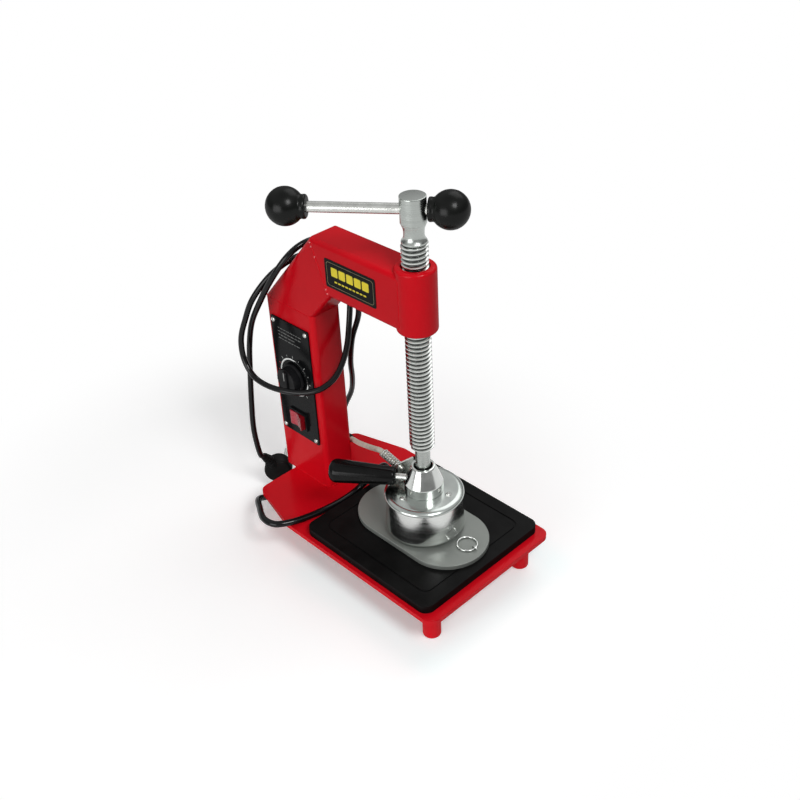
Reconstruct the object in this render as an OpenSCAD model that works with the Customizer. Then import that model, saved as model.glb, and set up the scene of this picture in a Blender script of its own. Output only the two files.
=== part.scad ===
// Bench press that cures patches on tyres and tubes: a C-frame with a hand screw, a heated head and a heated platen.
// Millimetres, +Z up, front at -Y. The origin lies on the bench, under the middle of the base plate.

/* [Base] */
// Width of the base plate in front
base_w = 200; // [196:1:240]
// Width of the base plate at the back
base_rear_w = 160; // [130:1:190]
// Length of the base plate
base_len = 318; // [300:1:360]
// Length of the parallel front part of the base plate
base_straight = 242; // [225:1:260]
// Thickness of the base plate
base_t = 6; // [4:0.5:10]
// Corner radius of the base plate
base_r = 12; // [4:0.5:18]
// Diameter of a foot
foot_d = 21; // [14:0.5:30]
// Height of a foot
foot_h = 42; // [36:1:60]
// Distance of a foot's middle from the edges of the base
foot_inset = 25; // [16:1:30]

/* [Platen] */
// Width of the heated platen
platen_w = 190; // [150:1:196]
// Length of the heated platen
platen_len = 200; // [180:1:215]
// Thickness of the heated platen
platen_t = 10; // [8:0.5:16]
// Corner radius of the heated platen
platen_r = 12; // [4:0.5:18]
// Distance from the front of the base to the platen
platen_margin = 12.5; // [4:0.5:20]
// Distance of the groove from the platen's edge
groove_inset = 16; // [8:1:24]
// Width of the groove
groove_w = 2; // [1:0.5:4]
// Depth of the groove
groove_t = 1; // [0.5:0.5:2]
// Thickness of the heating sheet under the platen
sheet_t = 2.4; // [1:0.1:4]
// Width of the rim that the platen stands on
platen_rim = 18; // [10:1:30]
// Thread diameter of a platen screw
platen_screw_d = 5; // [3:0.5:6]
// Distance of the platen screws from the platen's middle, along it
platen_screw_y = 60; // [40:1:66]

/* [Frame] */
// Width of the column, neck and arm
frame_w = 43; // [38:0.5:50]
// Depth of the column
col_d = 84; // [76:1:96]
// Height of the column above the base
col_h = 245; // [236:1:280]
// How far the column stands out behind the base
col_overhang = 19; // [16:0.5:24]
// Outer corner radius of the tubes
tube_r = 6; // [4:0.5:9]
// Wall of the tubes
tube_wall = 3; // [2:0.5:3.5]
// Lean of the neck from upright, in degrees
neck_lean = 42; // [34:1:48]
// Height of the arm's underside above the base
arm_lift = 283; // [276:1:310]
// Height of the arm
arm_h = 64; // [54:1:72]
// Diameter of the nut boss
boss_d = 44; // [44:0.5:54]
// Height of the nut boss
boss_h = 73; // [70:1:90]
// Rounding of the boss's upper edge
boss_round = 4; // [1:0.5:5]
// How far the boss hangs below the arm
boss_drop = 3; // [1:0.5:8]
// Distance from the front of the base to the screw
reach = 106; // [100:1:112]
// Width of the name plate
plate_w = 78; // [50:1:84]
// Height of the name plate
plate_h = 34; // [20:1:44]
// Distance from the screw to the middle of the name plate
plate_back = 76; // [68:1:80]

/* [Controls] */
// Width of the control panel
panel_w = 67; // [60:1:70]
// Height of the control panel
panel_h = 160; // [140:1:170]
// Height of the control panel's lower edge above the base
panel_lift = 63; // [50:1:70]
// Thickness of the control panel
panel_t = 2; // [1:0.5:3]
// Distance of a panel screw from the panel's edges
panel_screw_inset = 5; // [4:0.5:8]
// Head diameter of a panel screw
panel_screw_d = 6; // [4:0.5:8]
// Height of the knob's middle above the base
knob_lift = 149; // [140:1:160]
// Diameter of the knob's skirt
knob_d = 38; // [34:1:46]
// Length of the knob
knob_l = 15; // [15:1:24]
// Diameter of the knob's shaft
shaft_d = 6; // [4:0.5:8]
// Outer diameter of the dial ring
dial_d = 50; // [48:0.5:56]
// Height of the rocker's middle above the base
rocker_lift = 88; // [80:1:95]
// Width of the switch frame
switch_w = 31; // [26:0.5:36]
// Height of the switch frame
switch_h = 25; // [20:0.5:30]
// Swing of the rocker to each side, in degrees
rocker_tilt = 9; // [4:1:12]

/* [Screw] */
// Outer diameter of the thread
screw_d = 28; // [24:0.5:30]
// Pitch of the thread
screw_pitch = 5; // [4:0.5:6]
// Depth of the thread
thread_t = 2.5; // [1.5:0.1:3]
// Number of turns of the thread
screw_turns = 48; // [44:1:52]
// Diameter of the spindle's upper neck
neck_d = 21; // [18:0.5:22]
// Length of the spindle's upper neck
neck_l = 21; // [10:1:30]
// Diameter of the spindle's head
head_d = 27; // [24:0.5:34]
// Height of the spindle's head
head_h = 28.5; // [22:0.5:36]
// Diameter of the spigot
spigot_d = 17; // [12:0.5:18]
// Length of the spigot
spigot_l = 51; // [46:1:70]
// Diameter of the tommy bar
bar_d = 11; // [8:0.5:13]
// Distance between the middles of the ball knobs
bar_l = 162; // [130:1:200]
// Diameter of a ball knob
ball_d = 39; // [30:0.5:44]
// Length of a ball knob's collar
collar_l = 4; // [2:0.5:8]
// Direction of the tommy bar from +X, in degrees
bar_turn = 127; // [110:1:140]

/* [Heating head] */
// Radius of the pot
pot_r = 46; // [42:0.5:50]
// Radius of the pot at its mouth
pot_mouth_r = 42.5; // [40:0.5:46]
// Height of the pot
pot_h = 51; // [42:1:60]
// Wall of the pot
pot_wall = 1.5; // [1:0.1:2]
// Radius of the pot's lower edge
pot_edge_r = 8; // [4:0.5:10]
// Thickness of the sole plate in the pot
sole_t = 8; // [5:0.5:12]
// Thickness of the lid
lid_t = 1.5; // [1:0.1:3]
// Wire radius of the lid's rolled rim
lid_roll = 2.2; // [1.5:0.1:3]
// Diameter of the cone socket's foot
socket_d = 45; // [40:0.5:52]
// Height of the cone socket's foot
socket_foot_h = 13; // [8:0.5:18]
// Height of the cone
cone_h = 21; // [16:0.5:34]
// Diameter of the cone's top
cone_top_d = 27; // [25:0.5:32]
// Thickness of the floor under the spindle
socket_floor = 7; // [4:0.5:10]
// Thickness of the thrust pad
thrust_t = 4; // [2:0.5:6]
// Direction of the handle from +X, in degrees
handle_turn = 124; // [110:1:140]
// Height of the handle above the lid
handle_lift = 14; // [14:0.5:18]
// Diameter of the handle's stub
stub_d = 8; // [6:0.5:10]
// Distance from the screw to the near end of the grip
grip_start = 32; // [30:0.5:36]
// Length of the grip
grip_l = 78; // [60:1:84]
// Diameter of the grip at its near end
grip_d0 = 21; // [16:0.5:24]
// Diameter of the grip at its far end
grip_d1 = 28; // [20:0.5:30]

/* [Oval plate] */
// Width of the oval plate
oval_w = 98; // [80:1:120]
// Length of the oval plate
oval_l = 176; // [150:1:185]
// Thickness of the oval plate
oval_t = 6; // [3:0.5:10]
// How far the plate's middle lies behind the screw
oval_shift = 5; // [0:0.5:8]
// Outer diameter of the pull ring
ring_d = 25; // [18:0.5:27]
// Wire diameter of the pull ring
ring_wire = 2; // [1.5:0.1:2.4]
// Sideways place of the pull ring
ring_x = 6; // [-10:1:10]

/* [Leads] */
// Diameter of the mains cable
mains_d = 7; // [5:0.5:8]
// Diameter of the head's power lead
lead_d = 8; // [6:0.5:9]
// Diameter of the sensor's sleeve
sleeve_d = 6.5; // [4:0.5:6.5]
// Straight run of the sensor's sleeve out of its gland
sleeve_lead = 7.5; // [6:0.5:10]
// Wire diameter of the sensor's spring
coil_wire = 1.6; // [1:0.1:1.6]
// Mean diameter of the sensor's spring
coil_d = 9; // [8.8:0.1:10]
// Number of curls of the sensor's spring
coil_turns = 9; // [6:1:12]

/* [Hidden] */
$fn = 64;

// Fits
fit = 0.05;
bar_fit = 0.1;
play = 0.3;
eps = 0.01;

// Heights
z_base = foot_h + base_t;
z_platen = z_base + platen_t;
z_oval = z_platen + oval_t;
z_pot = z_oval + play;
z_lid = z_pot + pot_h;
z_socket = z_lid + lid_t;
z_cone = z_socket + socket_foot_h;
z_thrust = z_socket + socket_floor;
z_spigot = z_thrust + thrust_t;
z_screw = z_spigot + spigot_l;
run_out = 1;
screw_l = screw_pitch * (screw_turns + 1) + 2 * run_out;
z_neck = z_screw + screw_l;
z_head = z_neck + neck_l;
z_bar = z_head + head_h / 2;
z_col = z_base + col_h;
z_arm = z_base + arm_lift;
z_arm_top = z_arm + arm_h;
z_boss = z_arm - boss_drop;

// Places along the base
front = -base_len / 2;
axis_y = front + reach;
platen_y = front + platen_margin + platen_len / 2;
col_back = base_len / 2 + col_overhang;
col_y = col_back - col_d / 2;
col_front = col_back - col_d;
oval_y = axis_y + oval_shift;
side = frame_w / 2;

// Corners of the neck, seen from the side
neck_d_across = col_d * cos(neck_lean);
corner_out = col_back - (z_arm_top - z_col) * tan(neck_lean);
corner_in = col_front - (z_arm - z_col) * tan(neck_lean);

// Colours
red = "#a8131b";
black = "#1c1d1f";
chrome = "#c9cdcc";
grey = "#9a9d98";
cream = "#c8c3ae";
brass = "#b58b3f";

function unit(v) = v / norm(v);

function arc(c, r, a, b, n = 8) = [for (k = [0:n]) let (w = a + (b - a) * k / n) c + r * [cos(w), sin(w)]];

// Outline, counted anticlockwise, with each corner turned into an arc
function rounded(p, r, n = 8) = [
    for (i = [0:len(p) - 1])
        let (b = p[i],
             u = unit(p[(i + len(p) - 1) % len(p)] - b),
             v = unit(p[(i + 1) % len(p)] - b),
             half = acos(u * v) / 2,
             mid = b + unit(u + v) * r / sin(half),
             s = b + u * r / tan(half) - mid,
             turn = atan2(s.y, s.x))
        each arc(mid, r, turn, turn + 180 - 2 * half, n)
];

module round_rect(w, d, r) {
    square([w - 2 * r, d], center = true);
    square([w, d - 2 * r], center = true);
    for (sx = [-1, 1], sy = [-1, 1])
        translate([sx * (w / 2 - r), sy * (d / 2 - r)]) circle(r);
}

module tube_section(w, d) {
    difference() {
        round_rect(w, d, tube_r);
        round_rect(w - 2 * tube_wall, d - 2 * tube_wall, tube_r - tube_wall);
    }
}

// Outline in the YZ plane, drawn right across the frame
module side_prism(p) {
    translate([-frame_w, 0, 0]) rotate([90, 0, 90]) linear_extrude(2 * frame_w) polygon(p);
}

// What hangs on the screw's axis
module on_axis(z) {
    translate([0, axis_y, z]) children();
}

// What stands out of the control side of the column, drawn looking at that side: X along the column's depth, Y up
module on_panel(z, out = 0) {
    translate([-side - out, col_y, z]) rotate([90, 0, -90]) children();
}

// Base

base_outline = [
    [-base_w / 2, front], [base_w / 2, front], [base_w / 2, front + base_straight],
    [base_rear_w / 2, -front], [-base_rear_w / 2, -front], [-base_w / 2, front + base_straight]
];
platen_hole = [platen_w / 2 - platen_rim / 2, platen_screw_y];
platen_thread_l = platen_t - groove_t - 3;

module at_platen_screws(z) {
    for (sx = [-1, 1], sy = [-1, 1])
        translate([sx * platen_hole.x, platen_y + sy * platen_hole.y, z]) children();
}

module base_plate() {
    color(red) difference() {
        translate([0, 0, foot_h]) linear_extrude(base_t) polygon(rounded(base_outline, base_r));
        at_platen_screws(foot_h - 1) cylinder(d = platen_screw_d + 2 * fit, h = base_t + 2);
    }
}

foot_edge = 2;

module foot(sx, sy) {
    x = (sy < 0 ? base_w : base_rear_w) / 2 - foot_inset;
    color(red) translate([sx * x, sy * (base_len / 2 - foot_inset), 0]) rotate_extrude() polygon(concat(
        [[0, 0]], arc([foot_d / 2 - foot_edge, foot_edge], foot_edge, -90, 0), [[foot_d / 2, foot_h], [0, foot_h]]));
}

module foot_front_left() foot(-1, -1);
module foot_front_right() foot(1, -1);
module foot_rear_left() foot(-1, 1);
module foot_rear_right() foot(1, 1);

// Platen

module platen() {
    color(black) translate([0, platen_y, z_base]) difference() {
        linear_extrude(platen_t) round_rect(platen_w, platen_len, platen_r);
        translate([0, 0, platen_t - groove_t]) linear_extrude(groove_t + 1) difference() {
            round_rect(platen_w - 2 * groove_inset, platen_len - 2 * groove_inset, platen_r);
            round_rect(platen_w - 2 * groove_inset - 2 * groove_w, platen_len - 2 * groove_inset - 2 * groove_w,
                platen_r - groove_w);
        }
        translate([0, 0, -1]) linear_extrude(sheet_t + play + 1)
            square([platen_w - 2 * platen_rim, platen_len - 2 * platen_rim], center = true);
        for (sx = [-1, 1], sy = [-1, 1]) translate([sx * platen_hole.x, sy * platen_hole.y, -1])
            cylinder(d = platen_screw_d + 2 * fit, h = platen_thread_l + 1 + play);
    }
}

module heating_sheet() {
    color(cream) translate([0, platen_y, z_base]) linear_extrude(sheet_t)
        square([platen_w - 2 * platen_rim - 2, platen_len - 2 * platen_rim - 2], center = true);
}

screw_head_h = 3;

module platen_screws() {
    color(chrome) at_platen_screws(foot_h - screw_head_h) {
        cylinder(d = 1.8 * platen_screw_d, h = screw_head_h);
        cylinder(d = platen_screw_d, h = screw_head_h + base_t + platen_thread_l);
    }
}

// Frame

switch_body = [switch_w - 4, switch_h - 4];
switch_body_l = 22;
panel_z = z_base + panel_lift;
knob_z = z_base + knob_lift;
rocker_z = z_base + rocker_lift;
gland_z = z_base + 42;
gland_y = col_front + 18;
gland_bush_d = 9;

module at_panel_screws(out = 0) {
    for (sx = [-1, 1], sy = [0, 1]) on_panel(panel_z + (sy == 0 ? panel_screw_inset : panel_h - panel_screw_inset), out)
        translate([sx * (panel_w / 2 - panel_screw_inset), 0, 0]) children();
}

panel_screw_shank = panel_screw_d / 2;

module column() {
    color(red) difference() {
        translate([0, col_y, z_base]) linear_extrude(col_h) tube_section(frame_w, col_d);
        on_panel(knob_z, -tube_wall - 1) cylinder(d = shaft_d + 4, h = tube_wall + 2);
        on_panel(rocker_z, -tube_wall - 1) linear_extrude(tube_wall + 2)
            square([switch_body.x + 2 * play, switch_body.y + 2 * play], center = true);
        at_panel_screws(-tube_wall - 1) cylinder(d = panel_screw_shank + 2 * fit, h = tube_wall + 2);
        translate([side - tube_wall - 1, gland_y, gland_z]) rotate([0, 90, 0])
            cylinder(d = gland_bush_d + 2 * fit, h = tube_wall + 2);
    }
}

floor_t = 3;
bush_d = 12;
bush_x = 9;
exit_y = (base_len / 2 + col_back - tube_wall) / 2;

module column_floor() {
    w = frame_w - 2 * tube_wall - 2 * fit;
    d = col_d - 2 * tube_wall - 2 * fit;
    color(red) translate([0, 0, z_base]) linear_extrude(floor_t) difference() {
        translate([0, col_y]) round_rect(w, d, tube_r - tube_wall);
        for (sx = [-1, 1]) translate([sx * bush_x, exit_y]) circle(d = bush_d + 2 * fit);
    }
}

module neck() {
    color(red) intersection() {
        translate([0, col_y, z_col]) rotate([neck_lean, 0, 0])
            translate([0, 0, -2 * col_d]) linear_extrude(2 * col_d + 2 * (z_arm_top - z_col))
                tube_section(frame_w, neck_d_across);
        side_prism([[col_back, z_col], [corner_out, z_arm_top], [corner_in, z_arm], [col_front, z_col]]);
    }
}

module arm() {
    color(red) difference() {
        intersection() {
            translate([0, axis_y, z_arm + arm_h / 2]) rotate([-90, 0, 0])
                linear_extrude(corner_out - axis_y + arm_h) tube_section(frame_w, arm_h);
            side_prism([[axis_y, z_arm - 1], [corner_in, z_arm - eps], [corner_out, z_arm_top + eps],
                [axis_y, z_arm_top + 1]]);
        }
        on_axis(z_boss - 1) cylinder(d = boss_d, h = boss_h + arm_h);
    }
}

nut_d = screw_d + 9;
nut_seat = 6;

// The nut goes in from below, up to a seat under the boss's top
module nut_boss() {
    r = boss_d / 2;
    e = boss_round;
    color(red) on_axis(z_boss) difference() {
        rotate_extrude() polygon(concat([[0, 0], [r - 1.5, 0], [r, 1.5]], arc([r - e, boss_h - e], e, 0, 90), [[0, boss_h]]));
        translate([0, 0, -1]) cylinder(d = screw_d + 2, h = boss_h + 2);
        translate([0, 0, -1]) cylinder(d = nut_d + 2 * fit, h = boss_h - nut_seat + 1);
    }
}

module screw_nut() {
    color(brass) on_axis(z_boss + nut_seat) difference() {
        cylinder(d = nut_d, h = boss_h - 2 * nut_seat);
        translate([0, 0, -1]) cylinder(d = screw_d + 2 * play, h = boss_h);
    }
}

plate_t = 0.6;

module name_plate() {
    color(black) translate([-side, axis_y + plate_back, z_arm + arm_h / 2]) rotate([90, 0, -90])
        linear_extrude(plate_t) round_rect(plate_w, plate_h, 4);
}

// Controls

module control_panel() {
    color(black) difference() {
        on_panel(panel_z + panel_h / 2) linear_extrude(panel_t) round_rect(panel_w, panel_h, 2);
        on_panel(knob_z, -1) cylinder(d = shaft_d + 2 * fit, h = panel_t + 2);
        on_panel(rocker_z, -1) linear_extrude(panel_t + 2)
            square([switch_body.x + 2 * play, switch_body.y + 2 * play], center = true);
        at_panel_screws(-1) cylinder(d = panel_screw_shank + 2 * fit, h = panel_t + 2);
    }
}

module panel_screws() {
    color(chrome) at_panel_screws(-tube_wall) {
        cylinder(d = panel_screw_shank, h = tube_wall + panel_t + 1);
        translate([0, 0, tube_wall + panel_t]) cylinder(d1 = panel_screw_d, d2 = panel_screw_d - 2, h = 1.6);
    }
}

dial_t = 0.5;
dial_w = 2;

module dial_ring() {
    color(chrome) on_panel(knob_z, panel_t) linear_extrude(dial_t) difference() {
        circle(d = dial_d);
        circle(d = dial_d - 2 * dial_w);
    }
}

thermostat_w = 32;
thermostat_l = 24;
knob_gap = 1.2;
knob_skirt = 4;
knob_bore_l = 10;

module thermostat_body() {
    color(grey) on_panel(knob_z, -tube_wall - thermostat_l) difference() {
        linear_extrude(thermostat_l) square([thermostat_w, thermostat_w], center = true);
        translate([0, 0, thermostat_l - 8]) cylinder(d = shaft_d + 2 * fit, h = 9);
    }
}

module thermostat_shaft() {
    color(chrome) on_panel(knob_z, -tube_wall - 8 + fit)
        cylinder(d = shaft_d, h = 8 + tube_wall + panel_t + knob_gap + knob_bore_l - 2 * fit);
}

module thermostat_knob() {
    color(black) on_panel(knob_z, panel_t + knob_gap) difference() {
        union() {
            cylinder(d = knob_d, h = knob_skirt);
            cylinder(d1 = knob_d - 5, d2 = knob_d - 8, h = knob_l);
        }
        translate([0, 0, -1]) cylinder(d = shaft_d + 2 * fit, h = knob_bore_l + 1);
    }
}

rocker_gap = 0.6;
switch_frame_t = 2.5;
rocker_size = [switch_w - 6, switch_h - 6];
pivot_d = 3;
rocker_r = 20;

module switch_housing() {
    color(black) on_panel(rocker_z, panel_t) {
        difference() {
            union() {
                linear_extrude(switch_frame_t) round_rect(switch_w, switch_h, 2);
                translate([0, 0, -switch_body_l]) linear_extrude(switch_body_l + eps) square(switch_body, center = true);
            }
            translate([0, 0, -7]) linear_extrude(switch_frame_t + 8)
                square([rocker_size.x + 2 * rocker_gap, rocker_size.y + 2 * rocker_gap], center = true);
        }
        rotate([90, 0, 0]) cylinder(d = pivot_d, h = rocker_size.y + 2 * rocker_gap + 1, center = true);
    }
}

// The rocker turns on an upright pin and is drawn tilted to one side
module rocker() {
    color("#b3161a") on_panel(rocker_z, panel_t) rotate([0, -rocker_tilt, 0]) intersection() {
        rotate([90, 0, 0]) linear_extrude(rocker_size.y, center = true) difference() {
            polygon([[-rocker_size.x / 2 + 1, -3.5], [rocker_size.x / 2 - 1, -3.5], [rocker_size.x / 2 - 0.4, 6],
                [-rocker_size.x / 2 + 0.4, 6]]);
            translate([0, rocker_r + 3.6]) circle(rocker_r);
        }
        translate([0, 0, -6]) linear_extrude(14) square(rocker_size, center = true);
        rotate([90, 0, 0]) linear_extrude(switch_h, center = true) difference() {
            square(2 * switch_w, center = true);
            circle(d = pivot_d + 2 * fit);
        }
    }
}

// Screw

// One solid thread: columns of points round the core, each set higher than the last, so that a full turn climbs one
// pitch. The crest grows out of the core over the first turn and sinks back into it over the last.
thread_sides = 16;
thread_rows = 4;

module thread(r, depth, pitch, turns, lead) {
    n = thread_sides;
    top = thread_rows * turns;
    length = pitch * (turns + 1) + 2 * lead;
    rise = function (i, k) lead + pitch * (k / thread_rows + i / n);
    grown = function (z) max(0, min(1, (z - lead - pitch) / pitch, (length - lead - pitch - z) / pitch));
    out = function (i, k) r - depth + (k % 4 == 1 || k % 4 == 2 ? depth * grown(rise(i, k)) : 0);
    at = function (i, radius, z) [radius * cos(360 * i / n), radius * sin(360 * i / n), z];
    id = function (i, k) i * (top + 1) + k;
    low = n * (top + 1);
    high = low + n;
    points = concat(
        [for (i = [0:n - 1], k = [0:top]) at(i, out(i, k), rise(i, k))],
        [for (i = [0:n - 1]) at(i, r - depth, 0)],
        [for (i = [0:n - 1]) at(i, r - depth, length)]);
    quad = function (a, b, c, d) [[a, c, b], [a, d, c]];
    last = n - 1;
    faces = concat(
        [for (i = [0:n - 2], k = [0:top - 1]) each quad(id(i, k), id(i + 1, k), id(i + 1, k + 1), id(i, k + 1))],
        [for (k = [0:top - thread_rows - 1])
            each quad(id(last, k), id(0, k + thread_rows), id(0, k + thread_rows + 1), id(last, k + 1))],
        [for (i = [0:n - 2]) each quad(low + i, low + i + 1, id(i + 1, 0), id(i, 0))],
        [[id(last, 0), low, low + last], [id(last, 0), id(0, 0), low]],
        [for (k = [0:thread_rows - 1]) [id(last, 0), id(0, k + 1), id(0, k)]],
        [for (i = [0:n - 2]) each quad(id(i, top), id(i + 1, top), high + i + 1, high + i)],
        [[id(0, top), high + last, high], [id(0, top), id(last, top), high + last]],
        [for (k = [top - thread_rows:top - 1]) [id(0, top), id(last, k), id(last, k + 1)]],
        [[for (i = [0:n - 1]) low + i]],
        [[for (i = [n - 1:-1:0]) high + i]]);
    polyhedron(points, faces);
}

module spindle_screw() {
    color(chrome) on_axis(z_screw) thread(screw_d / 2, thread_t, screw_pitch, screw_turns, run_out);
}

module spindle_head() {
    e = 1.5;
    color(chrome) on_axis(z_neck) difference() {
        rotate_extrude() polygon([[0, 0], [neck_d / 2, 0], [neck_d / 2, neck_l], [head_d / 2 - e, neck_l],
            [head_d / 2, neck_l + e], [head_d / 2, neck_l + head_h - e], [head_d / 2 - e, neck_l + head_h],
            [0, neck_l + head_h]]);
        translate([0, 0, neck_l + head_h / 2]) rotate([0, 90, bar_turn])
            cylinder(d = bar_d + 2 * bar_fit, h = 2 * head_d, center = true);
    }
}

groove_h = 5;
groove_lift = 5;
groove_cut = 2;

module spigot() {
    color(chrome) on_axis(z_spigot) difference() {
        cylinder(d = spigot_d, h = spigot_l);
        translate([0, 0, groove_lift]) difference() {
            cylinder(d = spigot_d + 2, h = groove_h);
            translate([0, 0, -1]) cylinder(d = spigot_d - 2 * groove_cut, h = groove_h + 2);
        }
    }
}

module thrust_pad() {
    color(chrome) on_axis(z_thrust) cylinder(d = spigot_d - 2, h = thrust_t);
}

// The bar is slid to one end: the near ball's collar lies at the spindle's head
ball_seat = ball_d / 2 - 1.5;
near_ball = head_d / 2 + 0.7 + collar_l + ball_seat;
collar_d = 0.58 * ball_d;
rod_sink = 12;

module on_bar(s) {
    on_axis(z_bar) rotate([0, 90, bar_turn]) translate([0, 0, s]) children();
}

module tommy_bar() {
    color(chrome) on_bar(-near_ball + ball_seat - rod_sink)
        cylinder(d = bar_d, h = bar_l - 2 * ball_seat + 2 * rod_sink);
}

// Ball with its collar towards -Z
module ball_knob() {
    color(black) difference() {
        union() {
            sphere(d = ball_d);
            translate([0, 0, -ball_seat - collar_l]) cylinder(d = collar_d, h = ball_seat + collar_l);
        }
        translate([0, 0, -ball_seat - collar_l - 1])
            cylinder(d = bar_d + 2 * fit, h = collar_l + rod_sink + 1 + fit);
    }
}

module ball_knob_left() {
    on_bar(bar_l - near_ball) ball_knob();
}

module ball_knob_right() {
    on_bar(-near_ball) rotate([180, 0, 0]) ball_knob();
}

// Heating head

module pot_shell() {
    e = pot_edge_r;
    w = pot_wall;
    color(chrome) on_axis(z_pot) rotate_extrude() polygon(concat(
        [[0, 0]], arc([pot_r - e, e], e, -90, 0), [[pot_mouth_r, pot_h]],
        [[pot_mouth_r - w, pot_h]], arc([pot_r - e, e], e - w, 0, -90), [[0, w]]));
}

module sole_plate() {
    r = pot_r - pot_edge_r - 0.5;
    color(grey) on_axis(z_pot + pot_wall) cylinder(r = r, h = sole_t);
}

element_r = 3;

module heating_element() {
    color(grey) on_axis(z_pot + pot_wall + sole_t + element_r) rotate_extrude()
        translate([pot_r - pot_edge_r - 12, 0]) circle(element_r);
}

insulation_r = pot_mouth_r - pot_wall - 1;
lid_drop = 4;

module insulation() {
    base = z_pot + pot_wall + sole_t + 2 * element_r;
    color(cream) on_axis(base) cylinder(r = insulation_r, h = z_lid - base);
}

lid_r = pot_mouth_r + fit;

module lid() {
    color(chrome) on_axis(z_lid) difference() {
        union() {
            cylinder(r = lid_r + lid_roll / 2, h = lid_t);
            translate([0, 0, lid_t - lid_roll]) rotate_extrude() translate([lid_r + lid_roll / 2, 0]) circle(lid_roll);
        }
        translate([0, 0, pot_edge_r - pot_h]) cylinder(r1 = pot_r + fit, r2 = lid_r, h = pot_h - pot_edge_r);
        at_lid_screws() translate([0, 0, -1]) cylinder(d = lid_screw_d + 2 * fit, h = lid_t + 2);
    }
}

lid_screw_d = 3;
lid_screw_r = 30;

module at_lid_screws() {
    for (k = [0:2]) rotate(170 + 120 * k) translate([lid_screw_r, 0, 0]) children();
}

module lid_screws() {
    color(chrome) on_axis(z_lid) at_lid_screws() {
        cylinder(d = lid_screw_d, h = lid_t + 1);
        translate([0, 0, lid_t]) cylinder(d1 = 6.4, d2 = 5, h = 2);
    }
}

z_stub = z_socket + handle_lift;
cone_top_wall = 3;
socket_bore = spigot_d + 2 * fit;
lift_from_cone = handle_lift - socket_foot_h;
cone_slope = (socket_d - cone_top_d) / 2 / cone_h;
stub_bed = socket_d / 2 - lift_from_cone * cone_slope - 7;
set_screw_z = z_spigot + groove_lift + groove_h / 2;
set_screw_d = 4;
set_screw_turn = 20;
set_screw_l = 10;

module cone_socket() {
    color(chrome) difference() {
        on_axis(z_socket) difference() {
            rotate_extrude() polygon([[0, 0], [socket_d / 2, 0], [socket_d / 2, socket_foot_h],
                [cone_top_d / 2, socket_foot_h + cone_h], [0, socket_foot_h + cone_h]]);
            translate([0, 0, socket_floor]) cylinder(d = socket_bore, h = socket_foot_h + cone_h);
            translate([0, 0, socket_foot_h + cone_h - 5]) cylinder(d = cone_top_d - 2 * cone_top_wall, h = 6);
        }
        on_axis(z_stub) rotate([0, 90, handle_turn]) translate([0, 0, stub_bed])
            cylinder(d = stub_d + 2 * fit, h = socket_d);
        on_axis(set_screw_z) rotate([0, 90, set_screw_turn])
            cylinder(d = set_screw_d + 2 * fit, h = socket_d);
    }
}

module set_screw() {
    color(black) on_axis(set_screw_z) rotate([0, 90, set_screw_turn])
        translate([0, 0, spigot_d / 2 - groove_cut + play]) cylinder(d = set_screw_d, h = set_screw_l);
}

module handle_stub() {
    color(chrome) on_axis(z_stub) rotate([0, 90, handle_turn])
        translate([0, 0, stub_bed + fit]) cylinder(d = stub_d, h = grip_start + grip_l / 2 - stub_bed - fit);
}

module handle_grip() {
    a = grip_d0 / 2;
    b = grip_d1 / 2;
    e = 5;
    color(black) on_axis(z_stub) rotate([0, 90, handle_turn]) translate([0, 0, grip_start]) difference() {
        rotate_extrude() polygon(concat([[0, 0]], arc([a - e, e], e, -90, 0), arc([b - e, grip_l - e], e, 0, 90),
            [[0, grip_l]]));
        translate([0, 0, -1]) cylinder(d = stub_d + 2 * fit, h = grip_l / 2 + 1 + fit);
    }
}

// Sensor

// The bracket is a bent strip: its foot lies on the lid and its upright holds the ferrule
bracket_t = 2;
bracket_w = 22;
bracket_off = 6;
bracket_at = [-6, 31, 0];
bracket_turn = 80;
ferrule_h = 17;
ferrule_d = 8;

module on_bracket() {
    on_axis(z_socket) translate(bracket_at) rotate(bracket_turn) children();
}

module sensor_bracket() {
    color(chrome) on_bracket() difference() {
        union() {
            translate([-5, -bracket_w / 2 - bracket_off, 0]) cube([10, bracket_w, bracket_t]);
            translate([-bracket_t, -bracket_w / 2 - bracket_off, 0])
                cube([bracket_t, bracket_w, ferrule_h + ferrule_d]);
        }
        translate([-bracket_t - 1, 0, ferrule_h]) rotate([0, 90, 0])
            cylinder(d = ferrule_d - 2 + 2 * fit, h = bracket_t + 2);
    }
}

// Stepped sleeve through the bracket that takes the sleeve's end and the spring
module sensor_ferrule() {
    color(chrome) on_bracket() translate([0, 0, ferrule_h]) rotate([0, 90, 0]) {
        translate([0, 0, -bracket_t - 3]) cylinder(d = ferrule_d - 2, h = bracket_t + 3 + eps);
        cylinder(d = ferrule_d, h = 3);
    }
}

gland_flange = 3;
gland_out = 9;
gland_neck = 9;
gland_way = unit([-0.2, -0.93, 0.3]);
gland_elbow = [side + gland_out, gland_y, gland_z];

// Bush in the column's side, with a short neck that leans forwards for the sleeve
module sensor_gland() {
    color(black) union() {
        translate([side, gland_y, gland_z]) rotate([0, 90, 0]) {
            translate([0, 0, -tube_wall]) cylinder(d = gland_bush_d, h = tube_wall + eps);
            cylinder(d = gland_bush_d + 4, h = gland_flange);
            cylinder(d = gland_bush_d + 2, h = gland_out);
        }
        translate(gland_elbow) {
            sphere(d = gland_bush_d + 2);
            rotate([0, acos(gland_way.z), atan2(gland_way.y, gland_way.x)])
                cylinder(d1 = gland_bush_d + 2, d2 = sleeve_d + 2, h = gland_neck);
        }
    }
}

// Tubes along a route

function carry(u, t) = unit(u - (u * t) * t);

function normals(t, u, i = 0) = i == len(t) ? [] : let (v = carry(u, t[i])) concat([v], normals(t, v, i + 1));

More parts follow.
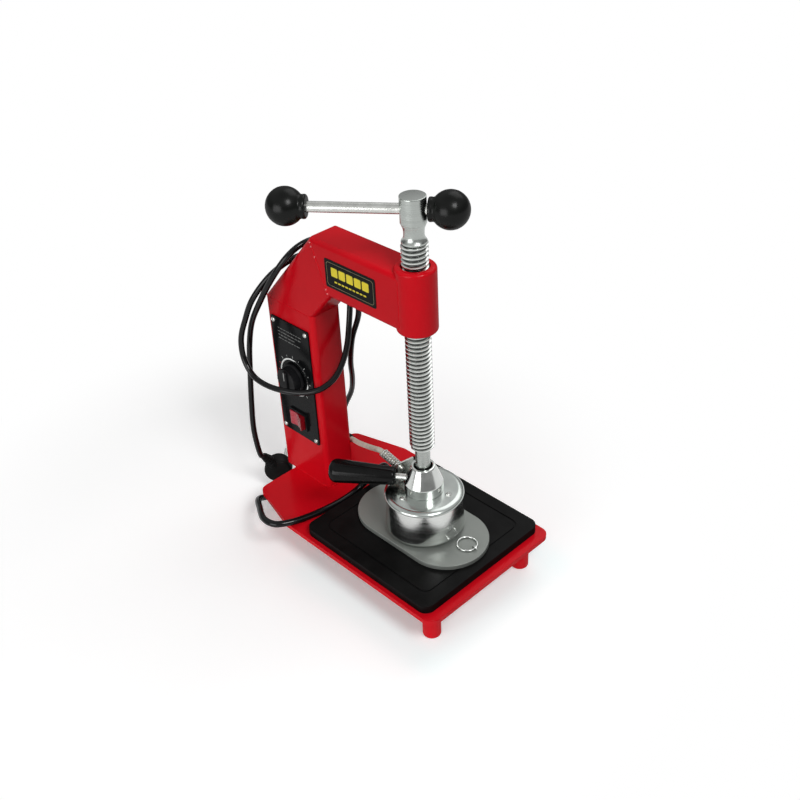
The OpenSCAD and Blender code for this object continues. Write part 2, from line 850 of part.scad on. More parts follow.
function bend(a, b, c, d, s) =
    0.5 * (2 * b + (c - a) * s + (2 * a - 5 * b + 4 * c - d) * s * s + (3 * b - a - 3 * c + d) * s * s * s);

// Smooth line through the points of a route, with so many steps from one point to the next
function route(p, steps) = concat(
    [for (i = [0:len(p) - 2], k = [0:steps - 1])
        bend(p[max(i - 1, 0)], p[i], p[i + 1], p[min(i + 2, len(p) - 1)], k / steps)],
    [p[len(p) - 1]]);

module tube_along(p, d, sides, ends = undef) {
    n = len(p);
    t = [for (i = [0:n - 1])
        i == 0 && !is_undef(ends) ? ends[0]
        : i == n - 1 && !is_undef(ends) ? ends[1]
        : unit(p[min(i + 1, n - 1)] - p[max(i - 1, 0)])];
    u = normals(t, abs(t[0].x) < 0.8 ? [1, 0, 0] : [0, 1, 0]);
    ring = [for (i = [0:n - 1], k = [0:sides - 1])
        let (w = 360 * k / sides) p[i] + d / 2 * (cos(w) * u[i] + sin(w) * cross(t[i], u[i]))];
    wall = [for (i = [0:n - 2], k = [0:sides - 1])
        let (a = i * sides + k, b = i * sides + (k + 1) % sides) each [[a, a + sides, b], [b, a + sides, b + sides]]];
    polyhedron(ring, concat(wall, [[for (k = [0:sides - 1]) k]],
        [[for (k = [sides - 1:-1:0]) (n - 1) * sides + k]]));
}

// Least distance between far stretches of a tube, from surface to surface
function least_gap(p, d, apart) = min([
    for (i = [0:len(p) - 1 - apart]) min([for (j = [i + apart:len(p) - 1]) norm(p[i] - p[j])])
]) - d;

// Sensor sleeve and its spring

ferrule_way = [cos(bracket_turn), sin(bracket_turn), 0];
ferrule_end = [0, axis_y, z_socket + ferrule_h] + bracket_at + 3 * ferrule_way;
gland_end = gland_elbow + gland_neck * gland_way;
coil_l = 33;
sleeve_points = [
    gland_end, gland_end + sleeve_lead * gland_way, [22.5, 83, 100.5], [17, 66, 108.5], [11.5, 49, 117], [6.5, 34, 125],
    [2.8, 23.5, 131],
    ferrule_end + (coil_l + 1) * ferrule_way, ferrule_end + (coil_l + 1) / 2 * ferrule_way, ferrule_end
];

module sensor_sleeve() {
    color(cream) tube_along(route(sleeve_points, 3), sleeve_d, 8, [gland_way, -ferrule_way]);
}

// Round the sleeve's last stretch: the curls start and end with a straight run along the sleeve
coil_rings = 8;
coil_base = ferrule_end + play * ferrule_way;
coil_side = cross([0, 0, 1], ferrule_way);
coil_path = [for (k = [0:coil_rings * coil_turns])
    let (w = 360 * k / coil_rings, s = coil_wire / 2 + (coil_l - coil_wire) * k / (coil_rings * coil_turns))
    coil_base + s * ferrule_way + coil_d / 2 * (cos(w) * coil_side + sin(w) * [0, 0, 1])];

module sensor_spring() {
    color(chrome) tube_along(coil_path, coil_wire, 6);
    echo(str("Sensor spring, least gap to itself: ", least_gap(coil_path, coil_wire, 5)));
}

// Power lead of the heating head

gland_turn = 84;
head_gland_l = 14;
head_gland_d = 13;
z_head_gland = z_pot + 34;
head_gland_way = [cos(gland_turn), sin(gland_turn), 0];
wall_r = pot_r - (pot_r - pot_mouth_r) * (z_head_gland - z_pot - pot_edge_r) / (pot_h - pot_edge_r);
head_gland_end = [0, axis_y, z_head_gland] + (wall_r + head_gland_l) * head_gland_way;
grommet_drop = 6;
lead_exit = [-bush_x, exit_y, z_base - grommet_drop];

lead_points = [
    lead_exit, lead_exit - [0, 0, lead_d], [-18, 170, 22], [-40, 170, 15], [-64, 168, 20], [-84, 160, 32],
    [-100, 136, 42], [-116, 106, 52], [-115, 87, 54], [-102, 77, 53.5], [-82, 70, 52.5], [-56, 64, 52.5], [-30, 61, 52.5],
    [-8, 61, 53.5], [8, 58, 61.5], [13, 45, 80], [13, 31, 97], [10, 20, 103],
    head_gland_end + lead_d * head_gland_way, head_gland_end
];

module power_lead() {
    color(black) tube_along(route(lead_points, 3), lead_d, 8, [[0, 0, -1], -head_gland_way]);
}

module power_gland() {
    color(black) difference() {
        on_axis(z_head_gland) rotate([0, 90, gland_turn]) {
            cylinder(d = head_gland_d, h = wall_r + head_gland_l - 5);
            cylinder(d1 = head_gland_d, d2 = lead_d + 1, h = wall_r + head_gland_l);
        }
        on_axis(z_pot + pot_edge_r) cylinder(r1 = pot_r + fit, r2 = pot_mouth_r + fit, h = pot_h - pot_edge_r);
    }
}

module bush(x) {
    translate([x, exit_y, z_base - grommet_drop]) {
        cylinder(d1 = bush_d - 1, d2 = bush_d + 2, h = grommet_drop);
        cylinder(d = bush_d, h = grommet_drop + floor_t);
    }
}

module power_grommet() {
    color(black) bush(-bush_x);
}

module mains_relief() {
    color(black) bush(bush_x);
}

// Mains cable: out under the column, up on its far side, over the neck's sloping back, down in one wide turn across the
// control side and in front of the column, over the neck again and down to the plug

mains_exit = [bush_x, exit_y, z_base - grommet_drop];
mains_up = [
    mains_exit, [11, 167.5, 30], [17, 169.5, 19.5], [25.5, 172.5, 11.5], [36.5, 176, 7.5], [48.5, 180, 7], [61.5, 184, 10],
    [72, 187, 18.5], [79, 190, 33], [82, 188, 54], [82, 174, 86], [78, 155, 118], [67, 138, 151], [54, 123, 189],
    [47, 108, 231], [50, 96, 272]
];
mains_turn = [
    [49, 106, 309], [37, 127, 334], [16, 139.5, 343.5], [-9, 144, 342], [-31, 154, 327], [-47, 168, 300], [-54, 178, 272],
    [-58, 183.5, 252], [-60, 184, 236], [-61, 180.5, 221], [-61.5, 171, 208.5], [-61, 157, 201.5], [-57, 134, 199],
    [-46, 105, 200], [-29, 84, 205], [-9, 75, 219], [10, 77, 243], [26, 86, 272], [38, 95, 304], [42, 102, 334],
    [33, 109.5, 360], [14, 115.5, 371], [-8, 118.5, 370.5], [-26, 125, 358], [-38, 140, 331]
];
plug_mid = [-24, 194, 31];
plug_tilt = 35;
plug_turn = 45;
plug_d = 36;
plug_relief_l = 20;
plug_neck_l = plug_relief_l + plug_d / 2 - 2;
plug_way = [-sin(plug_tilt), 0, cos(plug_tilt)];
plug_top = plug_mid + plug_neck_l * plug_way;
mains_down = [
    [-43, 159, 299], [-44, 179, 265], [-44, 191, 228], [-44, 198, 186], [-47, 200, 144], [-51, 198, 104],
    plug_top + (mains_d + 2) * plug_way, plug_top
];
mains_path = route(concat(mains_up, mains_turn, mains_down), 2);

module mains_cable() {
    color(black) tube_along(mains_path, mains_d, 8, [[0, 0, -1], -plug_way]);
    echo(str("Mains cable, least gap to itself: ", least_gap(mains_path, mains_d, 6)));
    echo(str("Mains cable, length: ", route_length(mains_path)));
    echo(str("Power lead, length: ", route_length(route(lead_points, 3))));
}

function route_length(p) = [for (i = [0:len(p) - 2]) norm(p[i + 1] - p[i])] * [for (i = [0:len(p) - 2]) 1];

// Angled plug: the cable comes in from above at a slant, the pins point away from the column

plug_l = 22;
pin_d = 4.8;
pin_l = 19;
pin_gap = 19;

module plug_body() {
    color(black) translate(plug_mid) union() {
        rotate([90, 0, -plug_turn]) cylinder(d = plug_d, h = plug_l, center = true);
        rotate([0, -plug_tilt, 0]) cylinder(d1 = 16, d2 = mains_d + 2, h = plug_neck_l);
    }
}

module plug_pins() {
    color(chrome) translate(plug_mid) rotate([0, 0, -plug_turn]) for (s = [-1, 1])
        translate([s * pin_gap / 2 * cos(plug_tilt), plug_l / 2, s * pin_gap / 2 * sin(plug_tilt)])
            rotate([-90, 0, 0]) cylinder(d = pin_d, h = pin_l);
}

// Oval plate with its pull ring

module oval_plate() {
    run = oval_l - oval_w;
    color(grey) translate([0, oval_y, z_platen]) linear_extrude(oval_t) {
        square([oval_w, run], center = true);
        for (s = [-1, 1]) translate([0, s * run / 2]) circle(d = oval_w);
    }
}

ring_front = axis_y - pot_r - ring_d - 2;
ring_z = z_oval + ring_wire / 2 + play;
eye_wire = 2;
eye_r = ring_wire / 2 + eye_wire / 2 + 0.8;

module ring_eye() {
    color(grey) intersection() {
        translate([ring_x, ring_front + ring_wire / 2, ring_z]) rotate([0, 90, 0]) rotate_extrude()
            translate([eye_r, 0]) circle(d = eye_wire, $fn = 24);
        translate([ring_x - 10, ring_front - 10, z_oval]) cube(20);
    }
}

module pull_ring() {
    color(chrome) translate([ring_x, ring_front + ring_d / 2, ring_z]) rotate_extrude()
        translate([(ring_d - ring_wire) / 2, 0]) circle(d = ring_wire, $fn = 24);
}

base_plate();
foot_front_left();
foot_front_right();
foot_rear_left();
foot_rear_right();
column();
column_floor();
neck();
arm();
nut_boss();
screw_nut();
name_plate();
control_panel();
panel_screws();
dial_ring();
thermostat_body();
thermostat_shaft();
thermostat_knob();
switch_housing();
rocker();
platen();
heating_sheet();
platen_screws();
spindle_screw();
spindle_head();
spigot();
thrust_pad();
tommy_bar();
ball_knob_left();
ball_knob_right();
pot_shell();
sole_plate();
heating_element();
insulation();
lid();
lid_screws();
cone_socket();
set_screw();
handle_stub();
handle_grip();
sensor_bracket();
sensor_ferrule();
sensor_spring();
sensor_sleeve();
sensor_gland();
power_lead();
power_gland();
power_grommet();
mains_relief();
mains_cable();
plug_body();
plug_pins();
oval_plate();
ring_eye();
pull_ring();
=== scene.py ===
# %% [markdown]
# # A bench vulcanizer, dressed for its picture
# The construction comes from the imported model: a welded C-frame, a hand screw, a heated pot and a
# heated platen. This lesson keeps every piece where the construction puts it and gives it the
# surface of the real one.

# %% Load the construction
import math
import random
import bpy
from mathutils import Matrix, Vector


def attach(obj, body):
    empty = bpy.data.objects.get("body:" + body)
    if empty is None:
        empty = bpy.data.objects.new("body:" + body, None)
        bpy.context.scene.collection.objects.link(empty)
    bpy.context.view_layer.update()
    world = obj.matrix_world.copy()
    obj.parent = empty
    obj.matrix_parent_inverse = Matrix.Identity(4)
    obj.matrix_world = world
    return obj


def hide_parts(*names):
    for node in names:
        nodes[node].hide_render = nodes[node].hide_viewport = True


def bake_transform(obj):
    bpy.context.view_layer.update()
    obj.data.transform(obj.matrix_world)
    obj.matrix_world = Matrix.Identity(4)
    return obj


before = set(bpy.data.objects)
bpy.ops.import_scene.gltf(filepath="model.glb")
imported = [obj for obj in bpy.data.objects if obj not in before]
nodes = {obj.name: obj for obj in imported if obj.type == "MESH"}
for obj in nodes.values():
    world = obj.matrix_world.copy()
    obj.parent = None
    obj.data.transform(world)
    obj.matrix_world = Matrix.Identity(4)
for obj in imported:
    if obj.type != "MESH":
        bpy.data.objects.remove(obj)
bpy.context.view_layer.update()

# %% [markdown]
# ## Sizes that the looks share with the construction
# Blender counts in metres, while the lengths here are written in millimetres, as on a drawing. They
# start from the bench under the middle of the base, with the front at minus Y. Each is named once,
# so that pieces which meet can't drift apart.

# %% Shared sizes
MM = 0.001
UP = Vector((0, 0, 1))
AXIS = Vector((0, -53, 0))
SIDE = 21.5
COLUMN_Y = 136
Z_POT = 64.3
Z_LID = 115.3
Z_SOCKET = 116.8
Z_SCREW = 178.8
Z_NECK = 425.8
Z_BAR = 461.05


def level_way(degrees):
    """A level direction, by its angle from plus X."""
    w = math.radians(degrees)
    return Vector((math.cos(w), math.sin(w), 0))


def on_axis(z):
    """A point on the press screw's axis."""
    return AXIS + z * UP


def metres(points):
    return [Vector(p) * MM for p in points]


BAR_WAY = level_way(127)
HANDLE_WAY = level_way(124)
BRACKET_TURN = 80
BRACKET_WAY = level_way(BRACKET_TURN)
BRACKET_AT = AXIS + Vector((-6, 31, 0))
print("screw axis at", tuple(AXIS), "bar along", tuple(BAR_WAY))

# %% [markdown]
# ## The camera
# It stands where the picture was taken from: in front, to the left and above, with a lens a little
# longer than normal. It could be aimed at a target by a constraint; fixed angles are used, because
# they also keep the picture's slight tilt.

# %% Camera
view = bpy.data.cameras.new("view")
view.lens = 47.877
view.sensor_width = 36
view.clip_end = 50
eye = bpy.data.objects.new("view", view)
bpy.context.scene.collection.objects.link(eye)
eye.location = (-0.6553, -0.72762, 0.88804)
eye.rotation_euler = [math.radians(a) for a in (55.403, 2.495, -44.547)]
bpy.context.scene.camera = eye
print("camera at", tuple(eye.location))

# %% [markdown]
# ## Small tools of the bench
# Operators work on whatever is selected, so each tool first clears the selection and then takes one
# object in hand. A piece could keep its place in its object; here the place goes into the mesh, so
# that the object stays at the origin and a pattern on it doesn't slide.


# %% Selecting and placing
def clear_selection():
    if bpy.context.object is not None and bpy.context.object.mode != 'OBJECT':
        bpy.ops.object.mode_set(mode='OBJECT')
    bpy.ops.object.select_all(action='DESELECT')


def take(obj):
    clear_selection()
    obj.select_set(True)
    bpy.context.view_layer.objects.active = obj
    return obj


def put(obj, place):
    """Moves a piece to its place and leaves the place in its mesh."""
    take(obj)
    obj.matrix_world = place
    bpy.ops.object.transform_apply(location=True, rotation=True, scale=True)
    return obj


def at(x, y, z):
    return Matrix.Translation(Vector((x, y, z)) * MM)


def along(origin, way):
    """Place of a piece whose Z runs along a direction; origin in millimetres."""
    turn = Vector(way).to_track_quat('Z', 'Y').to_matrix().to_4x4()
    return Matrix.Translation(Vector(origin) * MM) @ turn


# %% [markdown]
# Real edges are never quite sharp, and the light that runs along them is what makes a piece look
# made. They could be bevelled one by one; a modifier finds them by their angle. Normals weighted by
# area then keep flat faces flat beside the rounded ones.


# %% Easing and smoothing
def ease(obj, width, segments=2, angle=30):
    """Rounds every edge that is sharper than the angle; width in millimetres."""
    take(obj)
    m = obj.modifiers.new("ease", 'BEVEL')
    m.width = width * MM
    m.segments = segments
    m.limit_method = 'ANGLE'
    m.angle_limit = math.radians(angle)
    bpy.ops.object.modifier_apply(modifier=m.name)
    return obj


def smooth(obj, angle=35):
    take(obj)
    bpy.ops.object.shade_smooth_by_angle(angle=math.radians(angle))
    m = obj.modifiers.new("weigh", 'WEIGHTED_NORMAL')
    m.keep_sharp = True
    bpy.ops.object.modifier_apply(modifier=m.name)
    return obj


# %% [markdown]
# ## Finishes
# Each finish is a Principled shader whose colour and roughness wander a little over the surface,
# with a fine bump where the real one has grain. It could be painted on an image; noise on Object
# coordinates needs none. These are metres here, so the scales are in waves to the metre.

# %% A helper for finishes
CLOUD = (0.25, 0.75)


def add_node(tree, kind, values=None, **settings):
    """Adds a shader node, makes its settings and then fills its sockets."""
    made = tree.nodes.new("ShaderNode" + kind)
    for name, setting in settings.items():
        setattr(made, name, setting)
    for socket, value in (values or {}).items():
        made.inputs[socket].default_value = value
    return made


def finish(name, colour, rough, metal=0.0, vary=0.12, vary_scale=30, rough_vary=0.08, bump=0.0,
           bump_scale=600, stretch=(1, 1, 1), coat=0.0, coat_rough=0.08, specular=0.5):
    mat = bpy.data.materials.new(name)
    mat.use_nodes = True
    tree = mat.node_tree
    link = tree.links.new
    shader = tree.nodes["Principled BSDF"]
    shader.inputs["Metallic"].default_value = metal
    shader.inputs["Coat Weight"].default_value = coat
    shader.inputs["Coat Roughness"].default_value = coat_rough
    shader.inputs["Specular IOR Level"].default_value = specular
    where = add_node(tree, "TexCoord")
    turn = add_node(tree, "Mapping", {"Scale": stretch})
    link(where.outputs["Object"], turn.inputs["Vector"])
    cloud = add_node(tree, "TexNoise", {"Scale": vary_scale, "Detail": 6})
    link(turn.outputs["Vector"], cloud.inputs["Vector"])
    tint = add_node(tree, "ValToRGB")
    tint.color_ramp.interpolation = 'EASE'
    for stop, spot, gain in zip(tint.color_ramp.elements, CLOUD, (1 - vary, 1 + vary)):
        stop.position = spot
        stop.color = [min(1, c * gain) for c in colour] + [1]
    link(cloud.outputs["Fac"], tint.inputs["Fac"])
    link(tint.outputs["Color"], shader.inputs["Base Color"])
    dull = add_node(tree, "MapRange", {"From Min": CLOUD[0], "From Max": CLOUD[1],
                                       "To Min": max(0.02, rough - rough_vary),
                                       "To Max": min(1, rough + rough_vary)},
                    interpolation_type='SMOOTHSTEP')
    link(cloud.outputs["Fac"], dull.inputs["Value"])
    link(dull.outputs["Result"], shader.inputs["Roughness"])
    if bump:
        grain = add_node(tree, "TexNoise", {"Scale": bump_scale, "Detail": 3})
        link(turn.outputs["Vector"], grain.inputs["Vector"])
        relief = add_node(tree, "Bump", {"Strength": bump, "Distance": 0.0004})
        link(grain.outputs["Fac"], relief.inputs["Height"])
        link(relief.outputs["Normal"], shader.inputs["Normal"])
    return mat


def maths(tree, operation, a, b):
    """The result of a sum on two outputs."""
    made = add_node(tree, "Math", operation=operation)
    tree.links.new(a, made.inputs[0])
    tree.links.new(b, made.inputs[1])
    return made.outputs["Value"]


# %% [markdown]
# A dressed piece moves with a body of the construction, stands for some of its solids, and gets its
# finish. These three facts could be written out for each piece; one helper keeps them together, so
# that none is forgotten.


# %% Owning a piece
def own(piece, body, slot, mat, *stands_for):
    piece.data.materials.clear()
    piece.data.materials.append(mat)
    if stands_for:
        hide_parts(*stands_for)
    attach(piece, body)
    print(piece.name, "on", body, "with", len(piece.data.polygons), "faces")
    return piece


def paint(mat, *names):
    """A solid that stays as it is gets its finish."""
    for name in names:
        nodes[name].data.materials.clear()
        nodes[name].data.materials.append(mat)
    print(mat.name, "on", *names)


# %% [markdown]
# ## Cords
# A cord is a line through its route's points, with a round section. It could stay a curve object
# with a bevel, and starts as one, but it is turned into a mesh. The route is the construction's own:
# a smooth curve through a few chosen points.

# %% Routes
STEPS = 6


def bend(a, b, c, d, s):
    return 0.5 * (2 * b + (c - a) * s + (2 * a - 5 * b + 4 * c - d) * s * s
                  + (3 * b - a - 3 * c + d) * s ** 3)


def route(points, steps=STEPS):
    p = [Vector(q) for q in points]
    last = len(p) - 1
    line = [bend(p[max(i - 1, 0)], p[i], p[i + 1], p[min(i + 2, last)], k / steps)
            for i in range(last) for k in range(steps)]
    return line + [p[last]]


def length(line):
    return sum((b - a).length for a, b in zip(line, line[1:])) * MM


# %% [markdown]
# The section of a strand is swept along its route. Short cylinders could be strung together, but
# would show their joints; a bevelled curve has none. A swelling factor at each point makes a taper
# or ripples, so the same helper serves for leads, boots and weld beads.


# %% Strands
def tidy_mesh():
    """In edit mode: joins doubles and turns all faces outwards."""
    bpy.ops.mesh.select_all(action='SELECT')
    bpy.ops.mesh.remove_doubles(threshold=1e-6)
    bpy.ops.mesh.normals_make_consistent(inside=False)
    bpy.ops.object.mode_set(mode='OBJECT')


def strand(name, line, diameter, sides=3, swell=None):
    """A round strand along a line in millimetres, as a mesh; swell factors its radius."""
    data = bpy.data.curves.new(name, 'CURVE')
    data.dimensions = '3D'
    data.bevel_depth = diameter / 2 * MM
    data.bevel_resolution = sides
    data.use_fill_caps = True
    spline = data.splines.new('POLY')
    spline.points.add(len(line) - 1)
    for i, p in enumerate(line):
        spline.points[i].co = (p.x * MM, p.y * MM, p.z * MM, 1)
        spline.points[i].radius = swell[i] if swell else 1
    obj = bpy.data.objects.new(name, data)
    bpy.context.scene.collection.objects.link(obj)
    take(obj)
    bpy.ops.object.convert(target='MESH')
    obj = bpy.context.object
    bpy.ops.object.mode_set(mode='EDIT')
    tidy_mesh()
    return smooth(obj, 50)


# %% [markdown]
# Leads have a black jacket with a soft shine, and plug and bushes are of duller rubber. Both could
# share one black; the difference in gloss is what tells them apart, so each has its own coat. Small
# steel parts are zinc plated.

# %% Finishes of leads and small steel parts
jacket = finish("cable_jacket", (0.004, 0.004, 0.0045), 0.38, vary=0.2, vary_scale=150, bump=0.06,
                bump_scale=700, coat=0.50, coat_rough=0.12, specular=0.0)
moulded = finish("moulded_rubber", (0.006, 0.006, 0.006), 0.50, vary=0.2, vary_scale=120, bump=0.12,
                 bump_scale=900, coat=0.20, coat_rough=0.35, specular=0.0)
zinc = finish("zinc_steel", (0.58, 0.59, 0.565), 0.28, metal=1, vary=0.07, vary_scale=120,
              rough_vary=0.06)
print("finishes", jacket.name, moulded.name, zinc.name)

# %% [markdown]
# The mains cable of a bench tool is stored wound on its frame. This one leaves the column's foot,
# lies on the bench, rises on the far side, goes over the neck, hangs in one wide turn across the
# control side and in front of the column, goes over the neck again and drops to its plug. It could
# be simulated, but a laid cable keeps the bends it was given, so a drawn route is surer.

# %% Mains cable
MAINS_FOOT = (9, 167, 42)
MAINS_WIDTH = 7
PLUG_REACH = 36
PLUG_LEAN = math.radians(35)
plug_mid = Vector((-24, 194, 31))
plug_way = Vector((-math.sin(PLUG_LEAN), 0, math.cos(PLUG_LEAN)))
plug_top = plug_mid + PLUG_REACH * plug_way
rise = [MAINS_FOOT, (11, 167.5, 30), (17, 169.5, 19.5), (25.5, 172.5, 11.5), (36.5, 176, 7.5),
        (48.5, 180, 7), (61.5, 184, 10), (72, 187, 18.5), (79, 190, 33), (82, 188, 54),
        (82, 174, 86), (78, 155, 118), (67, 138, 151), (54, 123, 189), (47, 108, 231),
        (50, 96, 272)]
turn = [(49, 106, 309), (37, 127, 334), (16, 139.5, 343.5), (-9, 144, 342), (-31, 154, 327),
        (-47, 168, 300), (-54, 178, 272), (-58, 183.5, 252), (-60, 184, 236), (-61, 180.5, 221),
        (-61.5, 171, 208.5), (-61, 157, 201.5), (-57, 134, 199), (-46, 105, 200), (-29, 84, 205),
        (-9, 75, 219), (10, 77, 243), (26, 86, 272), (38, 95, 304), (42, 102, 334),
        (33, 109.5, 360), (14, 115.5, 371), (-8, 118.5, 370.5), (-26, 125, 358), (-38, 140, 331)]
drop = [(-43, 159, 299), (-44, 179, 265), (-44, 191, 228), (-44, 198, 186), (-47, 200, 144),
        (-51, 198, 104), tuple(plug_top + 9 * plug_way), tuple(plug_top)]
mains_line = route(rise + turn + drop)
mains = own(strand("mains_flex", mains_line, MAINS_WIDTH, sides=4), "frame", "cable_black", jacket,
            "mains_cable")
print("mains cable", round(length(mains_line), 3), "m")

# %% [markdown]
# Many pieces of this press are turned on a lathe or moulded round. Each starts as one vertex that is
# drawn out into a profile, and the profile is spun about its axis. A cylinder could be cut to shape;
# the profile is shorter, and reads like the turner's drawing.


# %% Tracing, turning and joining
def trace(name, points):
    """Draws an open line point by point, in millimetres, and stays in edit mode."""
    clear_selection()
    bpy.ops.mesh.primitive_plane_add(size=0.01, location=(0, 0, 0))
    obj = bpy.context.object
    obj.name = name
    obj.data.name = name
    bpy.ops.object.mode_set(mode='EDIT')
    bpy.ops.mesh.select_all(action='SELECT')
    bpy.ops.mesh.merge(type='CENTER')
    p = metres(points)
    bpy.ops.transform.translate(value=p[0])
    for a, b in zip(p, p[1:]):
        bpy.ops.mesh.extrude_region_move(TRANSFORM_OT_translate={"value": b - a})
    return obj


def turned(name, profile, place=Matrix(), steps=64):
    """Spins a profile of (radius, height) about Z."""
    obj = trace(name, [(r, 0, z) for r, z in profile])
    bpy.ops.mesh.select_all(action='SELECT')
    bpy.ops.mesh.spin(steps=steps, angle=2 * math.pi, center=(0, 0, 0), axis=(0, 0, 1))
    tidy_mesh()
    put(obj, place)
    return smooth(obj)


def joined(name, parts):
    clear_selection()
    for p in parts:
        p.select_set(True)
    bpy.context.view_layer.objects.active = parts[0]
    bpy.ops.object.join()
    parts[0].name = name
    parts[0].data.name = name
    return parts[0]


# %% [markdown]
# The plug is a flat round moulding whose cable enters from above through a ribbed neck; its pins
# point away behind it. It could be one lofted shape, but both of its forms are round about their
# own axes, so two spun profiles are joined.

# %% Plug
case = [(0, -11), (14, -11), (16.4, -10.4), (17.6, -9), (18, -6), (18, 3), (17.2, 5.6), (15, 7),
        (15, 9.4), (14.2, 10.6), (12, 11), (0, 11)]
ribs = [(0, 12), (8, 12), (8, 16)]
for k in range(4):
    z, r = 17 + 4.6 * k, 7.4 - 0.75 * k
    ribs += [(r, z), (r, z + 3), (r - 1.2, z + 3.4), (r - 1.2, z + 4.4)]
ribs += [(4.6, 35.6), (4.4, PLUG_REACH), (0, PLUG_REACH)]
plug_body = turned("plug_case", case, along(plug_mid, (1, 1, 0)), 48)
plug_neck = turned("plug_neck", ribs, along(plug_mid, plug_way), 32)
plug = own(joined("plug_case", [plug_body, plug_neck]), "frame", "plug_black", moulded, "plug_body")
paint(zinc, "plug_pins")

# %% [markdown]
# Under the column two rubber bushes keep the leads off the sheet's edge, and the mains lead also has
# a tapered boot. The boot could be spun straight, but it follows the lead's own bend, so it is a
# strand on the first stretch of the route, ringed so that it can flex.

# %% Bushes and boot
BOOT = 2 * STEPS
BOOT_WIDTH = 11.6
LEAD_FOOT = (-9, 167, 42)
bush_profile = [(0, 0), (4.8, 0), (5.5, 0.6), (5.7, 2), (5.2, 2.3), (5.2, 2.9), (6.2, 3.3),
                (6.7, 5.4), (6.9, 6), (6, 6), (6, 9), (0, 9)]
for foot, node, name in ((MAINS_FOOT, "mains_relief", "mains_bush"),
                         (LEAD_FOOT, "power_grommet", "lead_bush")):
    bush = turned(name, bush_profile, at(*foot), 32)
    own(bush, "frame", "bush_black", moulded, node)
boot_swell = [1 - 0.28 * k / BOOT - 0.07 * (k % 2) for k in range(BOOT + 1)]
own(strand("mains_boot", mains_line[:BOOT + 1], BOOT_WIDTH, sides=4, swell=boot_swell), "frame",
    "bush_black", moulded)

# %% [markdown]
# The head's own power lead lies on the base behind the platen and follows the head when the screw
# lifts it. It is made in two pieces along its route: a longer one from the column and a shorter one
# at the head. One piece can bend between two bodies only, so it is made in two.


# %% Power lead
def follow(piece, mat):
    """Gives a piece its finish and leaves its place in its mesh."""
    piece.data.materials.append(mat)
    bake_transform(piece)


LEAD_WIDTH = 8
LEAD_PART = 16 * STEPS
LEAD_Z = 98.3
LEAD_REACH = 57.884
lead_way = level_way(84)
lead_end = on_axis(LEAD_Z) + LEAD_REACH * lead_way
lead_points = [LEAD_FOOT, (-9, 167, 34), (-18, 170, 22), (-40, 170, 15), (-64, 168, 20),
               (-84, 160, 32), (-100, 136, 42), (-116, 106, 52), (-115, 87, 54), (-102, 77, 53.5),
               (-82, 70, 52.5), (-56, 64, 52.5), (-30, 61, 52.5), (-8, 61, 53.5), (8, 58, 61.5),
               (13, 45, 80), (13, 31, 97), (10, 20, 103), tuple(lead_end + 8 * lead_way),
               tuple(lead_end)]
lead_line = route(lead_points)
lead_run = lead_line[:LEAD_PART + 1]
lead = strand("power_flex", lead_run, LEAD_WIDTH, sides=4)
lead_tip = strand("power_flex_end", lead_line[LEAD_PART:], LEAD_WIDTH, sides=4)
follow(lead, jacket)
follow(lead_tip, jacket)
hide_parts("power_lead")
print("power lead", round(length(lead_line), 3), "m")

# %% [markdown]
# The sensor's lead is sleeved in pale glass fibre. The braid could be woven of strands, but each
# would be thinner than a hair in the picture, so two crossed waves in a bump stand for it.

# %% Braid
braid = finish("glass_braid", (0.70, 0.68, 0.58), 0.75, vary=0.12, vary_scale=120)
tree = braid.node_tree
link = tree.links.new
weave = []
for lean in (40, -40):
    lay = add_node(tree, "Mapping", {"Rotation": [math.radians(w) for w in (lean, 25, lean)]})
    band = add_node(tree, "TexWave", {"Scale": 260})
    link(tree.nodes["Texture Coordinate"].outputs["Object"], lay.inputs["Vector"])
    link(lay.outputs["Vector"], band.inputs["Vector"])
    weave.append(band.outputs["Fac"])
relief = add_node(tree, "Bump", {"Strength": 0.6, "Distance": 0.0005})
link(maths(tree, 'MULTIPLY', *weave), relief.inputs["Height"])
link(relief.outputs["Normal"], tree.nodes["Principled BSDF"].inputs["Normal"])
print("finish", braid.name)

# %% [markdown]
# The sleeve runs from a gland on the column to the bracket on the head. It could be a stiff rod on
# one body, but would tear off at its other end; it is split in two like the power lead.

# %% Sensor sleeve
SLEEVE_WIDTH = 6.5
SLEEVE_PART = 4 * STEPS
FERRULE_RISE = 17
FERRULE_OUT = 3
ferrule = BRACKET_AT + (Z_SOCKET + FERRULE_RISE) * UP + FERRULE_OUT * BRACKET_WAY
gland_way = Vector((-0.2, -0.93, 0.3)).normalized()
elbow = Vector((30.5, 112, 90))
gland_end = elbow + 9 * gland_way
sleeve_points = [tuple(gland_end), tuple(gland_end + 7.5 * gland_way), (22.5, 83, 100.5),
                 (17, 66, 108.5), (11.5, 49, 117), (6.5, 34, 125), (2.8, 23.5, 131)]
sleeve_points += [tuple(ferrule + s * BRACKET_WAY) for s in (34, 17, 0)]
sleeve_line = route(sleeve_points)
sleeve_run = sleeve_line[:SLEEVE_PART + 1]
sleeve = strand("sensor_braid", sleeve_run, SLEEVE_WIDTH, sides=5)
sleeve_tip = strand("sensor_braid_end", sleeve_line[SLEEVE_PART:], SLEEVE_WIDTH, sides=5)
follow(sleeve, braid)
follow(sleeve_tip, braid)
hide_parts("sensor_sleeve")
print("sleeve", round(length(sleeve_line), 3), "m")

# %% [markdown]
# A spring over the sleeve's end keeps it from kinking at the bracket. It could be a Screw modifier,
# but its wire follows the sleeve's own direction, so a helix of points is shorter.

